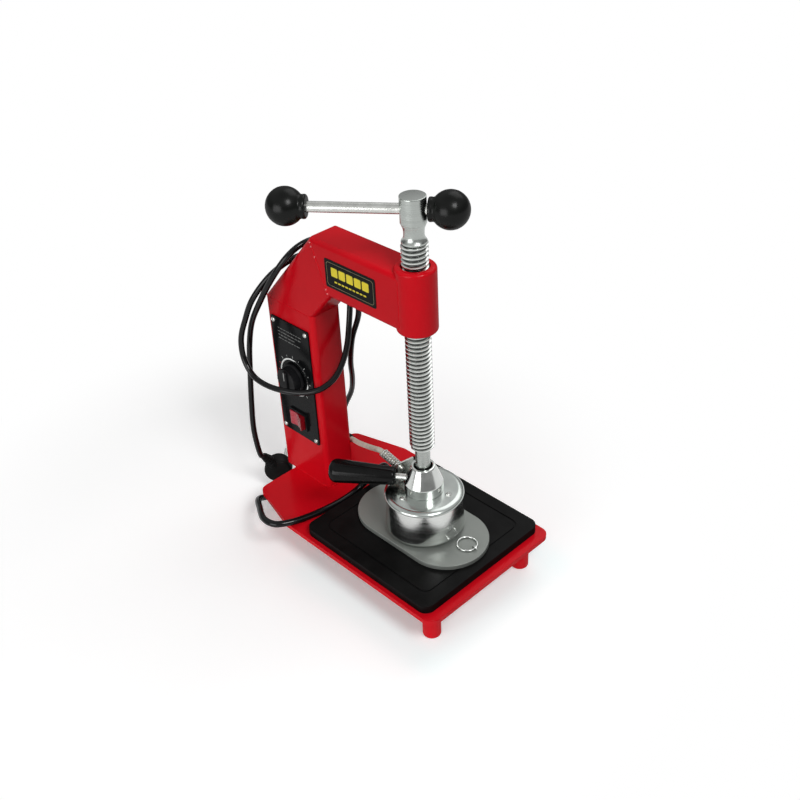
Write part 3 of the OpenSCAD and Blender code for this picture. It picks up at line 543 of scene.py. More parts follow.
# %% Spring
COIL_WIRE = 1.9
COIL_TURNS = 8
COIL_STEPS = 24
COIL_RADIUS = 4.5
COIL_START = 1.25
COIL_LENGTH = 31.1
across = UP.cross(BRACKET_WAY)
coil = []
for k in range(COIL_TURNS * COIL_STEPS + 1):
    w = math.radians(360 * k / COIL_STEPS)
    s = COIL_START + COIL_LENGTH * k / (COIL_TURNS * COIL_STEPS)
    coil.append(ferrule + s * BRACKET_WAY + COIL_RADIUS * (math.cos(w) * across + math.sin(w) * UP))
own(strand("sensor_coil", coil, COIL_WIRE, sides=3), "head", "bracket_steel", zinc, "sensor_spring")

# %% [markdown]
# The sleeve leaves the column through an elbow of rubber. A bent tube could be swept; a spun flange,
# a ball at the knee and a ribbed neck give the same form, with its parting lines.


# %% Sensor gland
def arc(cx, cy, r, a, b, n=8):
    """Points of an arc from the angle a to the angle b, in degrees."""
    turns = [math.radians(a + (b - a) * k / n) for k in range(n + 1)]
    return [(cx + r * math.cos(w), cy + r * math.sin(w)) for w in turns]


flange = turned("sensor_bush", [(0, -3), (4.5, -3), (4.5, 0), (6.3, 0), (6.5, 0.5), (6.5, 2.5),
                                (6, 3), (5.5, 3.2), (5.5, 9), (0, 9)],
                along((SIDE, elbow.y, elbow.z), (1, 0, 0)), 32)
knee = turned("sensor_bush_knee", [(0, -5.5)] + arc(0, 0, 5.5, -80, 80, 16) + [(0, 5.5)],
              along(elbow, gland_way), 32)
neck = turned("sensor_bush_neck", [(0, 0), (5.4, 0), (5.4, 2.2), (4.8, 2.5), (4.8, 3.3), (5.1, 3.6),
                                   (5.1, 4.8), (4.5, 5.1), (4.5, 5.9), (4.7, 6.2), (4.6, 7.6),
                                   (4.2, 9), (0, 9)], along(elbow, gland_way), 32)
own(joined("sensor_bush", [flange, knee, neck]), "frame", "bush_black", moulded, "sensor_gland")

# %% [markdown]
# Where the construction's solid already has the right form, a copy of it is enough. Its mesh is of
# loose triangles, so the copy is merged, its flat faces are made whole, and its edges are eased. The
# power lead's gland on the head is the first such piece.


# %% Copying a solid
def copied(node, soft, segments=2):
    obj = nodes[node].copy()
    obj.data = nodes[node].data.copy()
    obj.name = node + "_dressed"
    obj.parent = None
    obj.matrix_world = Matrix()
    bpy.context.scene.collection.objects.link(obj)
    take(obj)
    bpy.ops.object.mode_set(mode='EDIT')
    bpy.ops.mesh.select_all(action='SELECT')
    bpy.ops.mesh.remove_doubles(threshold=2e-6)
    bpy.ops.mesh.dissolve_limited(angle_limit=math.radians(1))
    bpy.ops.mesh.select_all(action='DESELECT')
    bpy.ops.object.mode_set(mode='OBJECT')
    return smooth(ease(obj, soft, segments))


own(copied("power_gland", 0.5), "head", "bush_black", moulded, "power_gland")

# %% [markdown]
# ## The welded frame
# The real frame is cut from box tube and plate, welded, dressed and painted in a thick gloss enamel
# with a slight orange peel. The tubes already have their rounded corners in the construction and
# only get the paint; base plate and boss are copied, because their cut edges need easing.

# %% Frame
enamel = finish("red_enamel", (0.60, 0.004, 0.011), 0.32, vary=0.05, vary_scale=12, rough_vary=0.05,
                bump=0.06, bump_scale=380, coat=0.22, coat_rough=0.20, specular=0.0)
brass = finish("nut_brass", (0.55, 0.38, 0.14), 0.28, metal=1, vary_scale=90)
own(copied("base_plate", 1.6, 3), "frame", "red_paint", enamel, "base_plate")
own(copied("nut_boss", 0.8), "frame", "red_paint", enamel, "nut_boss")
paint(enamel, "column", "neck", "arm", "column_floor")
paint(enamel, "foot_front_left", "foot_front_right", "foot_rear_left", "foot_rear_right")
paint(brass, "screw_nut")

# %% [markdown]
# A weld is a row of small solid ripples. On this frame the seams were ground down and painted over,
# so only low beads are left. They could be a bump in the paint; thin strands with a wandering
# thickness catch the light at their edges too, and stay where they are at every pose.

# %% Weld beads
RIPPLE = 1.3
SUNK = 0.3
SEAM_FOOT = (62, 336)
SEAM_TOP = (84, 390)
chance = random.Random(7)


def bead(a, b, size):
    a, b = Vector(a), Vector(b)
    count = max(6, int((b - a).length / RIPPLE))
    line, swell = [], []
    for k in range(count + 1):
        end = 0.5 if k in (0, count) else 1
        line.append(a.lerp(b, k / count))
        swell.append((0.75 + 0.35 * (k % 2) + chance.uniform(-0.15, 0.15)) * end)
    return strand("seam", line, size, sides=2, swell=swell)


seams = []
for side in (-1, 1):
    x = side * (SIDE - SUNK)
    for a, b, size in ((SEAM_FOOT, SEAM_TOP, 2.4), ((100, 293), (172, 293), 1.6),
                       ((100, 48.4), (158, 48.4), 2.6), ((-48.3, 336), (-48.3, 390), 2.0)):
        seams.append(bead((x, *a), (x, *b), size))
for y, z, size in ((60, 331.2, 2.2), (94.2, 293, 1.6), (94, 48.6, 2.6)):
    seams.append(bead((-16, y, z), (16, y, z), size))
own(joined("weld_beads", seams), "frame", "red_paint", enamel)

# %% [markdown]
# A few drops of weld stand proud along the neck's seam and catch the light. They could be spheres
# sunk in the tube; a low spun cap has the flat foot of a real drop. It is modelled once and copied,
# each copy with its own mesh.


# %% Weld dots
def twin(obj, place):
    """A copy with its own mesh, moved by a place."""
    other = obj.copy()
    other.data = obj.data.copy()
    bpy.context.scene.collection.objects.link(other)
    other.data.transform(place)
    return other


weld_enamel = finish("weld_enamel", (0.62, 0.012, 0.020), 0.2, vary=0.05, vary_scale=12, coat=1.0,
                     coat_rough=0.05)
dot = turned("weld_dot", [(0, 1), (0.7, 0.85), (1.3, 0.4), (1.5, -0.3), (0, -0.3)], Matrix(), 16)
dots = []
for side in (-1, 1):
    top, foot = Vector((side * SIDE, *SEAM_TOP)), Vector((side * SIDE, *SEAM_FOOT))
    for t in (0.0, 0.08, 0.28, 0.92, 1.0):
        dots.append(twin(dot, along(top.lerp(foot, t), (side, 0, 0))))
bpy.data.objects.remove(dot, do_unlink=True)
own(joined("weld_dots", dots), "frame", "red_paint", weld_enamel)

# %% [markdown]
# ## The platen
# The lower heated plate is a casting with a shallow groove round its middle, coated black. It could
# be built anew from an outline, but the construction's solid already has the groove, so a copy with
# worn, rounded edges is enough.

# %% Platen
platen_black = finish("platen_coat", (0.005, 0.005, 0.005), 0.42, vary=0.35, vary_scale=45,
                      rough_vary=0.12, bump=0.14, bump_scale=900, coat=0.14, coat_rough=0.32,
                      specular=0.0)
hidden_grey = finish("hidden_grey", (0.30, 0.30, 0.29), 0.5, vary=0.15, vary_scale=80, bump=0.1)
own(copied("platen", 1.4, 3), "frame", "platen_black", platen_black, "platen")
paint(hidden_grey, "heating_sheet")
paint(zinc, "platen_screws")

# %% [markdown]
# ## The screw
# Press screws are chromed. The roots of their thread and the mouth of the cone that takes their end
# get painted shade, a darker colour where less light reaches. A second material on picked faces
# would end in a hard line; the distance from the axis is read instead, so the painted shade thins
# out up the flanks.


# %% Chrome with painted shade in its hollows
def shade_roots(mat, dark_to, bright_from, root):
    """Darkens a finish near the screw's axis, as painted shade; the two radii in millimetres."""
    tree = mat.node_tree
    link = tree.links.new
    from_axis = add_node(tree, "VectorMath", {1: (1, 1, 0), 2: -AXIS * MM}, operation='MULTIPLY_ADD')
    radius = add_node(tree, "VectorMath", operation='LENGTH')
    depth = add_node(tree, "MapRange", {"From Min": dark_to * MM, "From Max": bright_from * MM})
    painted_shade = add_node(tree, "Mix", {"A": root + (1,)}, data_type='RGBA')
    link(tree.nodes["Texture Coordinate"].outputs["Object"], from_axis.inputs[0])
    link(from_axis.outputs["Vector"], radius.inputs[0])
    link(radius.outputs["Value"], depth.inputs["Value"])
    link(depth.outputs["Result"], painted_shade.inputs["Factor"])
    link(tree.nodes["Color Ramp"].outputs["Color"], painted_shade.inputs["B"])
    link(painted_shade.outputs["Result"], tree.nodes["Principled BSDF"].inputs["Base Color"])
    return mat


def bright(name):
    return finish(name, (0.62, 0.64, 0.62), 0.14, metal=1, vary=0.06, vary_scale=60, rough_vary=0.05)


# The thread's roots get painted shade: darker towards the axis.
thread_steel = shade_roots(finish("thread_chrome", (0.66, 0.68, 0.66), 0.18, metal=1, vary=0.10,
                          vary_scale=90, rough_vary=0.06), 11.8, 13.4, (0.085, 0.09, 0.085))
# The cone's bore gets painted shade: dark where the spigot enters it.
cone_chrome = shade_roots(bright("cone_chrome"), 10.6, 10.8, (0.022, 0.024, 0.022))
print("painted_shade", thread_steel.name, cone_chrome.name)

# %% [markdown]
# The thread is coarse and right-handed. A stack of rings would look alike from afar, but its turns
# would not climb; so one pitch is drawn as a profile and swept by the Screw modifier, and two bisect
# cuts give it flat ends.

# %% Thread
PITCH = 5
TURNS = 52
TURN_STEPS = 40
tooth = [(11.5, 0), (11.7, 0.3), (13.6, 1.1), (14, 1.4), (14, 2.35), (13.6, 2.65), (11.7, 3.45),
         (11.5, 3.75), (11.5, PITCH)]
thread = trace("screw_thread", [(r, 0, z) for r, z in tooth])
bpy.ops.object.mode_set(mode='OBJECT')
put(thread, at(0, 0, Z_SCREW - PITCH))
sweep = thread.modifiers.new("sweep", 'SCREW')
sweep.screw_offset = PITCH * MM
sweep.iterations = TURNS
sweep.steps = sweep.render_steps = TURN_STEPS
sweep.use_merge_vertices = True
sweep.merge_threshold = 1e-5
bpy.ops.object.modifier_apply(modifier=sweep.name)
bpy.ops.object.mode_set(mode='EDIT')
for z, keep_above in ((Z_SCREW, True), (Z_NECK, False)):
    bpy.ops.mesh.select_all(action='SELECT')
    bpy.ops.mesh.bisect(plane_co=(0, 0, z * MM), plane_no=(0, 0, 1), use_fill=True,
                        clear_inner=keep_above, clear_outer=not keep_above)
tidy_mesh()
put(thread, at(*AXIS))
own(smooth(thread, 40), "spindle", "screw_chrome", thread_steel, "spindle_screw")

# %% [markdown]
# The screw's head is turned with a hollowed waist and drilled across for a sliding bar. The hole
# could be hidden by the bar, but the bar slides, so it is a real cut.


# %% Head, spigot and bar
def cut_away(obj, cutter):
    """Takes a second shape out of a piece."""
    take(obj)
    m = obj.modifiers.new("cut", 'BOOLEAN')
    m.operation = 'DIFFERENCE'
    m.solver = 'EXACT'
    m.object = cutter
    bpy.ops.object.modifier_apply(modifier=m.name)
    bpy.data.objects.remove(cutter, do_unlink=True)
    return obj


turned_chrome = finish("turned_chrome", (0.40, 0.425, 0.405), 0.28, metal=1, vary=0.06, vary_scale=9,
                       rough_vary=0.04, bump=0.015, bump_scale=30, stretch=(1, 1, 60))
head = turned("screw_head", [(0, 0), (12.4, 0), (13.2, 0.8), (13.2, 2.4), (12.2, 3.8), (10.9, 6),
                             (10.5, 9), (10.6, 13), (11.2, 16.6), (12.2, 19), (12.6, 20),
                             (12.6, 20.8), (13.2, 21.3), (13.5, 22), (13.5, 48.4), (13.2, 49.1),
                             (12.5, 49.5), (0, 49.5)], at(*on_axis(Z_NECK)), 64)
drill = turned("drill", [(0, -30), (5.6, -30), (5.6, 30), (0, 30)], along(on_axis(Z_BAR), BAR_WAY), 40)
own(smooth(cut_away(head, drill)), "spindle", "screw_chrome", turned_chrome, "spindle_head")
own(copied("spigot", 0.5), "spindle", "screw_chrome", turned_chrome, "spigot")
own(copied("tommy_bar", 0.4), "bar", "screw_chrome", zinc, "tommy_bar")
paint(zinc, "thrust_pad")

# %% [markdown]
# The bar carries a black ball on each end. A ball could be a sphere, but the moulded ones have a
# collar round the bar and a faint mould seam, which a profile gives at once.

# %% Ball knobs
BALL = 19.5
FAR_BALL = 125.8
NEAR_BALL = -36.2
SEAM_AT = 22
SEAM_LIP = 0.14
phenolic = finish("polished_phenolic", (0.004, 0.0045, 0.004), 0.24, vary=0.25, vary_scale=60,
                  bump=0.05, bump_scale=300, coat=0.34, coat_rough=0.27, specular=0.0)
ball = [(0, -6), (5.55, -6), (5.55, -21.6), (9.6, -21.6), (11, -21.3), (11.9, -20.5), (12.2, -19.3),
        (12.1, -18), (11.9, -17), (12, -16)]
for degrees in range(-50, 90, 4):
    w = math.radians(degrees)
    r = BALL + (SEAM_LIP if degrees == SEAM_AT else 0)
    ball.append((r * math.cos(w), r * math.sin(w)))
ball.append((0, BALL))
for s, way, node in ((FAR_BALL, BAR_WAY, "ball_knob_left"), (NEAR_BALL, -BAR_WAY, "ball_knob_right")):
    knob = turned(node + "_ball", ball, along(on_axis(Z_BAR) + s * BAR_WAY, way), 56)
    own(knob, "bar", "ball_black", phenolic, node)

# %% [markdown]
# ## The heating head
# The pot that holds the heater is spun from sheet and plated, the lid's edge is rolled down over its
# mouth, and a turned cone takes the screw's end. Cylinders could be bevelled to it; profiles are
# shorter, and give the rolled edge its true section. Fine lines round the axis are left by the tool.

# %% Pot, lid and cone
pot_chrome = finish("pot_chrome", (0.64, 0.655, 0.64), 0.17, metal=1, vary=0.08, vary_scale=9,
                    rough_vary=0.06, bump=0.04, bump_scale=30, stretch=(1, 1, 60))
satin_chrome = finish("satin_chrome", (0.47, 0.50, 0.48), 0.22, metal=1, vary=0.06, vary_scale=40,
                      rough_vary=0.06, bump=0.03, bump_scale=500)
pot = [(0, 0)] + arc(38, 8, 8, -90, 0, 10) + [(42.5, 51), (41, 51), (44.3, 9)]
pot += arc(38, 8, 6.5, 0, -90, 8) + [(0, 1.5)]
own(turned("pot_shell_spun", pot, at(*on_axis(Z_POT)), 96), "head", "pot_chrome", pot_chrome,
    "pot_shell")
shoulder = [(38.5 + 7.35 * x, -3.2 + 4.7 * y) for x, y in arc(0, 0, 1, 0, 90, 12)]
lid = [(0, 0), (42.55, 0), (42.55, -1.6)] + arc(44.35, -3.2, 1.5, -150, -10) + shoulder + [(0, 1.5)]
own(turned("lid_spun", lid, at(*on_axis(Z_LID)), 96), "head", "pot_chrome", satin_chrome, "lid")
cone = [(0, 0), (22, 0), (22.5, 0.6), (22.5, 12), (22.2, 12.9), (21.6, 14.2), (14.1, 32.5),
        (13.5, 33.6), (12.9, 34), (11.2, 34), (10.5, 33.4), (10.5, 29), (8.55, 29), (8.55, 7), (0, 7)]
own(turned("cone_turned", cone, at(*on_axis(Z_SOCKET)), 72), "head", "pot_chrome", cone_chrome,
    "cone_socket")

# %% [markdown]
# Slotted screws hold the lid, and a smaller one holds the sensor's bracket. Each could be modelled
# in place; one is turned and slotted at the origin, and its copies are put in their places.


# %% Lid screws
def cut_slot(screw, size, z, degrees=0):
    """Cuts a driver's slot across a screw's head; size and height in millimetres."""
    clear_selection()
    bpy.ops.mesh.primitive_cube_add(size=1)
    cutter = bpy.context.object
    cutter.scale = Vector(size) * MM
    cutter.location = (0, 0, z * MM)
    cutter.rotation_euler = (0, 0, math.radians(degrees))
    bpy.ops.object.transform_apply(location=True, rotation=True, scale=True)
    cut_away(screw, cutter)


def turn_about_z(degrees):
    return Matrix.Rotation(math.radians(degrees), 4, 'Z')


SCREW_CIRCLE = 30
FIRST_SCREW = 170
screw = turned("lid_screw", [(0, -1.5), (1.5, -1.5), (1.5, 0), (3.2, 0), (3.2, 0.5), (2.9, 1.2),
                             (2.2, 1.75), (1.2, 2), (0, 2)], Matrix(), 24)
cut_slot(screw, (7, 0.8, 1.6), 2.2)
lid_top = at(*on_axis(Z_SOCKET))
screws = [twin(screw, lid_top @ turn_about_z(FIRST_SCREW + 120 * k) @ at(SCREW_CIRCLE, 0, 0))
          for k in range(3)]
bracket_foot = at(*(BRACKET_AT + (Z_SOCKET + 2) * UP)) @ turn_about_z(BRACKET_TURN) @ at(2.2, -6, 0)
own(smooth(twin(screw, bracket_foot @ Matrix.Scale(0.72, 4))), "head", "bright_steel", zinc)
bpy.data.objects.remove(screw, do_unlink=True)
own(smooth(joined("lid_screws_set", screws)), "head", "bright_steel", zinc, "lid_screws")

# %% [markdown]
# Inside the pot lie the sole plate, the heater and a packing of mineral wool, and a black grub screw
# holds the cone on the spigot. They are hidden or tiny, so the construction's solids stay and only
# get their finish.

# %% Inside of the head
wool = finish("mineral_wool", (0.58, 0.55, 0.46), 0.9, vary=0.25, vary_scale=300, bump=0.5,
              bump_scale=500)
control_black = finish("control_black", (0.008, 0.008, 0.009), 0.38, vary=0.2, vary_scale=120,
                       bump=0.1, bump_scale=1400, coat=0.25, coat_rough=0.30, specular=0.0)
paint(hidden_grey, "sole_plate", "heating_element")
paint(wool, "insulation")
paint(control_black, "set_screw")

# %% [markdown]
# A moulded grip on a steel stub turns the hot head, and a bent strip carries the sensor's end. The
# grip swells towards its rounded end, so it is spun from a curve; stub, strip and ferrule are plain
# and come from the construction.

# %% Handle, bracket and ferrule
GRIP_RISE = 14
GRIP_REACH = 32
grip_black = finish("grip_phenolic", (0.004, 0.004, 0.004), 0.29, vary=0.25, vary_scale=80,
                    bump=0.06, bump_scale=500, coat=0.30, coat_rough=0.14, specular=0.0)
grip = [(0, 38.9), (4.06, 38.9), (4.06, 0), (6.4, 0)] + arc(6.6, 3.8, 3.8, -80, 0, 6)
grip += [(10.4 + 3.6 * (k / 10) ** 0.85, 4 + 66 * k / 10) for k in range(1, 10)]
grip += arc(5, 69, 9, 0, 90, 12) + [(0, 78)]
grip_root = on_axis(Z_SOCKET + GRIP_RISE) + GRIP_REACH * HANDLE_WAY
own(turned("grip_moulded", grip, along(grip_root, HANDLE_WAY), 56), "head", "grip_black", grip_black,
    "handle_grip")
own(copied("sensor_bracket", 0.5), "head", "bracket_steel", zinc, "sensor_bracket")
paint(zinc, "handle_stub", "sensor_ferrule")

# %% [markdown]
# ## The control side
# A black plate with a soft gloss is held on the column's side by four screws. A plain box would do
# for it from afar; the copied solid has its holes, and the screws get a crossed recess, because they
# are the brightest spots of this side.

# %% Panel and its screws
PANEL_FOOT = 111
PANEL_OUT = 2
FACING_LEFT = Matrix(((0, 0, -1, 0), (-1, 0, 0, 0), (0, 1, 0, 0), (0, 0, 0, 1)))


def on_panel(z, out=0.0):
    """Place on the control side, as one sees it: X to the right, Y up, Z outwards."""
    return at(-SIDE - out, COLUMN_Y, z) @ FACING_LEFT


panel_black = finish("panel_black", (0.006, 0.0065, 0.007), 0.34, vary=0.2, vary_scale=60, bump=0.04,
                     bump_scale=900, coat=0.22, coat_rough=0.15, specular=0.0)
own(copied("control_panel", 0.4), "frame", "panel_black", panel_black, "control_panel")
pan = turned("panel_screw", [(0, -4), (1.5, -4), (1.5, 0), (3, 0), (3, 0.5), (2.7, 1.1), (2, 1.5),
                             (1, 1.6), (0, 1.6)], Matrix(), 24)
for degrees in (20, 110):
    cut_slot(pan, (3.4, 0.7, 1.4), 1.6, degrees)
pans = [twin(pan, on_panel(PANEL_FOOT + y, PANEL_OUT) @ at(x, 0, 0))
        for x in (-28.5, 28.5) for y in (5, 155)]
bpy.data.objects.remove(pan, do_unlink=True)
own(smooth(joined("panel_screw_set", pans)), "frame", "bright_steel", zinc, "panel_screws")

# %% [markdown]
# Round the knob lies a bright ring with ticks for the heat. Printing could be a texture; thin raised
# strokes are used, because they stay sharp close up and need no image. An outline is closed into a
# face, and the face is raised.


# %% Dial
def raised(name, outline, height, place=Matrix(), soft=0.0, segments=2, angle=35):
    """Closes an outline in XY and raises it by a height."""
    obj = trace(name, [(x, y, 0) for x, y in outline])
    bpy.ops.mesh.select_all(action='SELECT')
    bpy.ops.mesh.edge_face_add()
    bpy.ops.mesh.extrude_region_move(TRANSFORM_OT_translate={"value": (0, 0, height * MM)})
    tidy_mesh()
    if soft:
        ease(obj, soft, segments, 40)
    put(obj, place)
    return smooth(obj, angle)


def rounded_box(w, h, r, n=6):
    x, y = w / 2 - r, h / 2 - r
    corners = ((x, y, 0), (-x, y, 90), (-x, -y, 180), (x, -y, 270))
    return [p for cx, cy, a in corners for p in arc(cx, cy, r, a, a + 90, n)]


DIAL_Z = 197
TICKS = 12
TICK_RADIUS = 28
PRINT_OUT = 2.02
dial_silver = finish("dial_silver", (0.66, 0.67, 0.66), 0.24, metal=1, vary=0.12, vary_scale=140)
print_pale = finish("dial_print", (0.42, 0.43, 0.42), 0.45, vary=0.2, vary_scale=200)
print_red = finish("dial_red", (0.45, 0.02, 0.02), 0.45, vary=0.2, vary_scale=200)
marks, red_marks = [], []
for k in range(TICKS + 1):
    degrees = 225 - 270 * k / TICKS
    spot = on_panel(DIAL_Z, PRINT_OUT) @ turn_about_z(degrees) @ at(TICK_RADIUS, 0, 0)
    tick = raised("mark", rounded_box(3.4 if k % 2 == 0 else 2, 0.8, 0.3, 2), 0.12, spot)
    (red_marks if k in (2, 3) else marks).append(tick)
own(joined("dial_marks", marks), "frame", "dial_silver", print_pale)
own(joined("dial_marks_red", red_marks), "frame", "dial_silver", print_red)
paint(dial_silver, "dial_ring")
paint(hidden_grey, "thermostat_body")
paint(zinc, "thermostat_shaft")

# %% [markdown]
# Above the dial lie a few rows of small grey strokes, like lines of fine print. They could be a
# texture; raised strokes of chance lengths stay sharp close up. The dice are seeded, so that every
# run throws the same.

# %% Strokes on the panel
ROW_ENDS = (20, 20, 8, 14)
ROW_START = -22.0
ROW_TOP = 258
ROW_STEP = 4.6
WORD_GAP = 1.3
dice = random.Random(3)
print_grey = finish("panel_print", (0.13, 0.135, 0.13), 0.5, vary=0.2, vary_scale=200)
strokes = []
for row, row_end in enumerate(ROW_ENDS):
    x = ROW_START
    while x < row_end:
        wide = dice.uniform(2.5, 6.5)
        spot = on_panel(ROW_TOP - ROW_STEP * row, PRINT_OUT) @ at(x + wide / 2, 0, 0)
        strokes.append(raised("stroke", rounded_box(wide, 1.1, 0.4, 2), 0.1, spot))
        x += wide + WORD_GAP
own(joined("panel_strokes", strokes), "frame", "dial_silver", print_grey)

# %% [markdown]
# The knob is a moulding with a skirt, a fluted body and a ridge to grip. A cylinder with a bump would
# lose its flutes at the outline, so the fluted outline is traced and raised, and skirt and ridge are
# added to it.

# %% Knob
KNOB_OUT = 3.2
FLUTE = 0.5
on_knob = on_panel(DIAL_Z, KNOB_OUT)
flutes = []
for k in range(72):
    w = math.radians(5 * k)
    r = 16.4 - FLUTE * (k % 3 == 0)
    flutes.append((r * math.cos(w), r * math.sin(w)))
body = raised("knob_body", flutes, 9.4, on_knob @ at(0, 0, 3.4), 0.7, 2, 50)
skirt = turned("knob_skirt", [(0, 0), (18.5, 0), (19, 0.5), (19, 2.6), (18.2, 3.7), (16.2, 4.1),
                              (0, 4.1)], on_knob, 56)
ridge = raised("knob_ridge", rounded_box(8, 29, 3, 5), 3.8, on_knob @ at(0, 0, 11.2), 1.0, 3)
own(joined("knob_moulded", [body, skirt, ridge]), "knob", "control_black", control_black,
    "thermostat_knob")
pointer = raised("knob_line", rounded_box(1.2, 12, 0.5, 3), 0.14, on_knob @ at(0, 8, 14.95))
own(pointer, "knob", "dial_silver", print_pale)

# %% [markdown]
# The switch is a black frame with a rocker of clear red plastic that tilts in it. Both are simple
# blocks whose edges matter most, so the construction's solids are copied and eased. The rocker's
# raised half catches the light, and that half is painted lighter: a step in its colour along Y is
# painted light, which helps to tell the halves apart.

# %% Switch
ROCKER_STEP = (0.1352, 0.1372)
rocker_red = finish("rocker_red", (0.24, 0.005, 0.010), 0.26, vary=0.08, vary_scale=90, coat=0.05,
                    specular=0.3)
tree = rocker_red.node_tree
link = tree.links.new
split = add_node(tree, "SeparateXYZ")
half = add_node(tree, "MapRange", {"From Min": ROCKER_STEP[0], "From Max": ROCKER_STEP[1]})
# Painted light: the rocker's raised half gets a lighter red than the other half.
painted_lit_half = add_node(tree, "Mix", {"B": (0.44, 0.030, 0.050, 1)}, data_type='RGBA')
link(tree.nodes["Texture Coordinate"].outputs["Object"], split.inputs["Vector"])
link(split.outputs["Y"], half.inputs["Value"])
link(half.outputs["Result"], painted_lit_half.inputs["Factor"])
link(tree.nodes["Color Ramp"].outputs["Color"], painted_lit_half.inputs["A"])
link(painted_lit_half.outputs["Result"], tree.nodes["Principled BSDF"].inputs["Base Color"])
own(copied("switch_housing", 0.5), "frame", "control_black", control_black, "switch_housing")
own(copied("rocker", 0.5), "rocker_body", "rocker_red", rocker_red, "rocker")

# %% [markdown]
# ## The label on the arm
# A black film is stuck on the arm's side, with a frame line, five plain yellow blocks and a row of
# dashes. It could be a texture; thin raised shapes are used, because they keep their edges sharp
# close up and need no image.

# %% Label
LABEL_AT = (-SIDE, 23, 363)
PLATE = 0.5
FILM = 0.06
film_black = finish("label_film", (0.006, 0.0065, 0.006), 0.30, vary=0.15, vary_scale=50, coat=0.18,
                    coat_rough=0.15, specular=0.0)
film_yellow = finish("label_yellow", (0.80, 0.66, 0.012), 0.40, vary=0.08, vary_scale=90)
film_grey = finish("label_line", (0.20, 0.18, 0.08), 0.40, vary=0.15, vary_scale=120)
on_arm = at(*LABEL_AT) @ FACING_LEFT
on_film = on_arm @ at(0, 0, PLATE)
plate = raised("label_plate", rounded_box(78, 34, 2.5), PLATE, on_arm, 0.15)
own(plate, "frame", "label_film", film_black, "name_plate")
rim = raised("label_rim", rounded_box(72, 28, 3.5), FILM, on_film)
hole = raised("label_hole", rounded_box(71, 27, 3.1), 2, on_arm @ at(0, 0, -0.3))
own(cut_away(rim, hole), "frame", "label_film", film_grey)
bars = [raised("label_block", rounded_box(10, 10.5, 1.4, 5), FILM, on_film @ at(12 * k, 3.6, 0))
        for k in range(-2, 3)]
bars += [raised("label_dash", rounded_box(4.2, 1.8, 0.6, 4), FILM, on_film @ at(5.6 * k, -7.4, 0))
         for k in range(-4, 5)]
own(joined("label_bars", bars), "frame", "label_film", film_yellow)

# %% [markdown]
# ## The loose oval plate
# A cast plate that is laid under the head to spread its heat, blasted to an even grey. Its wire ring
# lies on it and lets it be pulled out while it is hot. A new outline could be raised, but the
# construction's own solid is right and is copied with eased edges; only its skin is new.

# %% Oval plate and ring
cast_grey = finish("linished_aluminium", (0.23, 0.245, 0.228), 0.50, metal=0.6, vary=0.05,
                   vary_scale=40, rough_vary=0.05, bump=0.05, bump_scale=700)
chrome = bright("bright_chrome")
own(copied("oval_plate", 0.8), "oval", "cast_aluminium", cast_grey, "oval_plate")
paint(chrome, "ring_eye", "pull_ring")

# %% [markdown]
# ## Floor and light
# The object stood on a white sheet that runs out into white. A curved backdrop would do the same; a
# flat floor is simpler, which near the object is pale paper that keeps the shadow, and further off
# fades from paper into an even glow.

# %% Floor
FLOOR_SIZE = 12
FLOOR_DROP = 0.0002
SHEET_MIDDLE = (-0.06, 0.12, 0)
FADE = (0.27, 0.52)
PAPER_LEVELS = (0.95, 0.0)
GLOW_LEVELS = (0.23, 1.0)
clear_selection()
bpy.ops.mesh.primitive_plane_add(size=FLOOR_SIZE, location=(0, 0, -FLOOR_DROP))
floor = bpy.context.object
floor.name = "floor"
pale = bpy.data.materials.new("floor_pale")
pale.use_nodes = True
tree = pale.node_tree
link = tree.links.new
shader = tree.nodes["Principled BSDF"]
shader.inputs["Roughness"].default_value = 0.9
shader.inputs["Specular IOR Level"].default_value = 0
where = add_node(tree, "TexCoord")


def chain(tree, start, steps):
    """Passes a vector through a row of vector operations."""
    for operation, amount in steps:
        made = add_node(tree, "VectorMath", {1: amount} if amount else None, operation=operation)
        tree.links.new(start, made.inputs[0])
        start = made.outputs["Value" if operation == 'LENGTH' else "Vector"]
    return start


def ramp(tree, value, bounds, levels):
    """A level that goes smoothly from one to another as the value passes its bounds."""
    sockets = dict(zip(("From Min", "From Max", "To Min", "To Max"), bounds + levels))
    made = add_node(tree, "MapRange", sockets, interpolation_type='SMOOTHSTEP')
    tree.links.new(value, made.inputs["Value"])
    return made.outputs["Result"]


away = chain(tree, where.outputs["Object"], (('SUBTRACT', SHEET_MIDDLE), ('LENGTH', None)))
paper = ramp(tree, away, FADE, PAPER_LEVELS)
glow_level = ramp(tree, away, FADE, GLOW_LEVELS)
floor.data.materials.append(pale)
print("floor", floor.name)

# %% [markdown]
# The sheet in the picture has a plain grey shadow, while red paint close by would tinge it. The
# lamps could be tinted; a shade less red in the sheet round the platen takes the tinge out and
# leaves the object's own colours alone.

# %% Paper
PLATEN_MIDDLE = (0, -0.06, 0)
PLATEN_HALF = (0.10, 0.10, 0)
COOL_REACH = (0.0, 0.05)
COOL_RED = (0.86, 1.0)
beside = chain(tree, where.outputs["Object"],
               (('SUBTRACT', PLATEN_MIDDLE), ('ABSOLUTE', None), ('SUBTRACT', PLATEN_HALF),
                ('MAXIMUM', (0, 0, 0)), ('LENGTH', None)))
sheet = add_node(tree, "CombineColor")
link(maths(tree, 'MULTIPLY', paper, ramp(tree, beside, COOL_REACH, COOL_RED)), sheet.inputs["Red"])
link(paper, sheet.inputs["Green"])
link(paper, sheet.inputs["Blue"])
link(sheet.outputs["Color"], shader.inputs["Base Color"])
print("paper", len(tree.nodes), "nodes")

# %% [markdown]
# The glow is for the eye, and for glossy and clear surfaces, so that chrome shows a white sheet too.
# More light would do it, but would also fall on the object; the Light Path node tells these rays
# from those that light it.

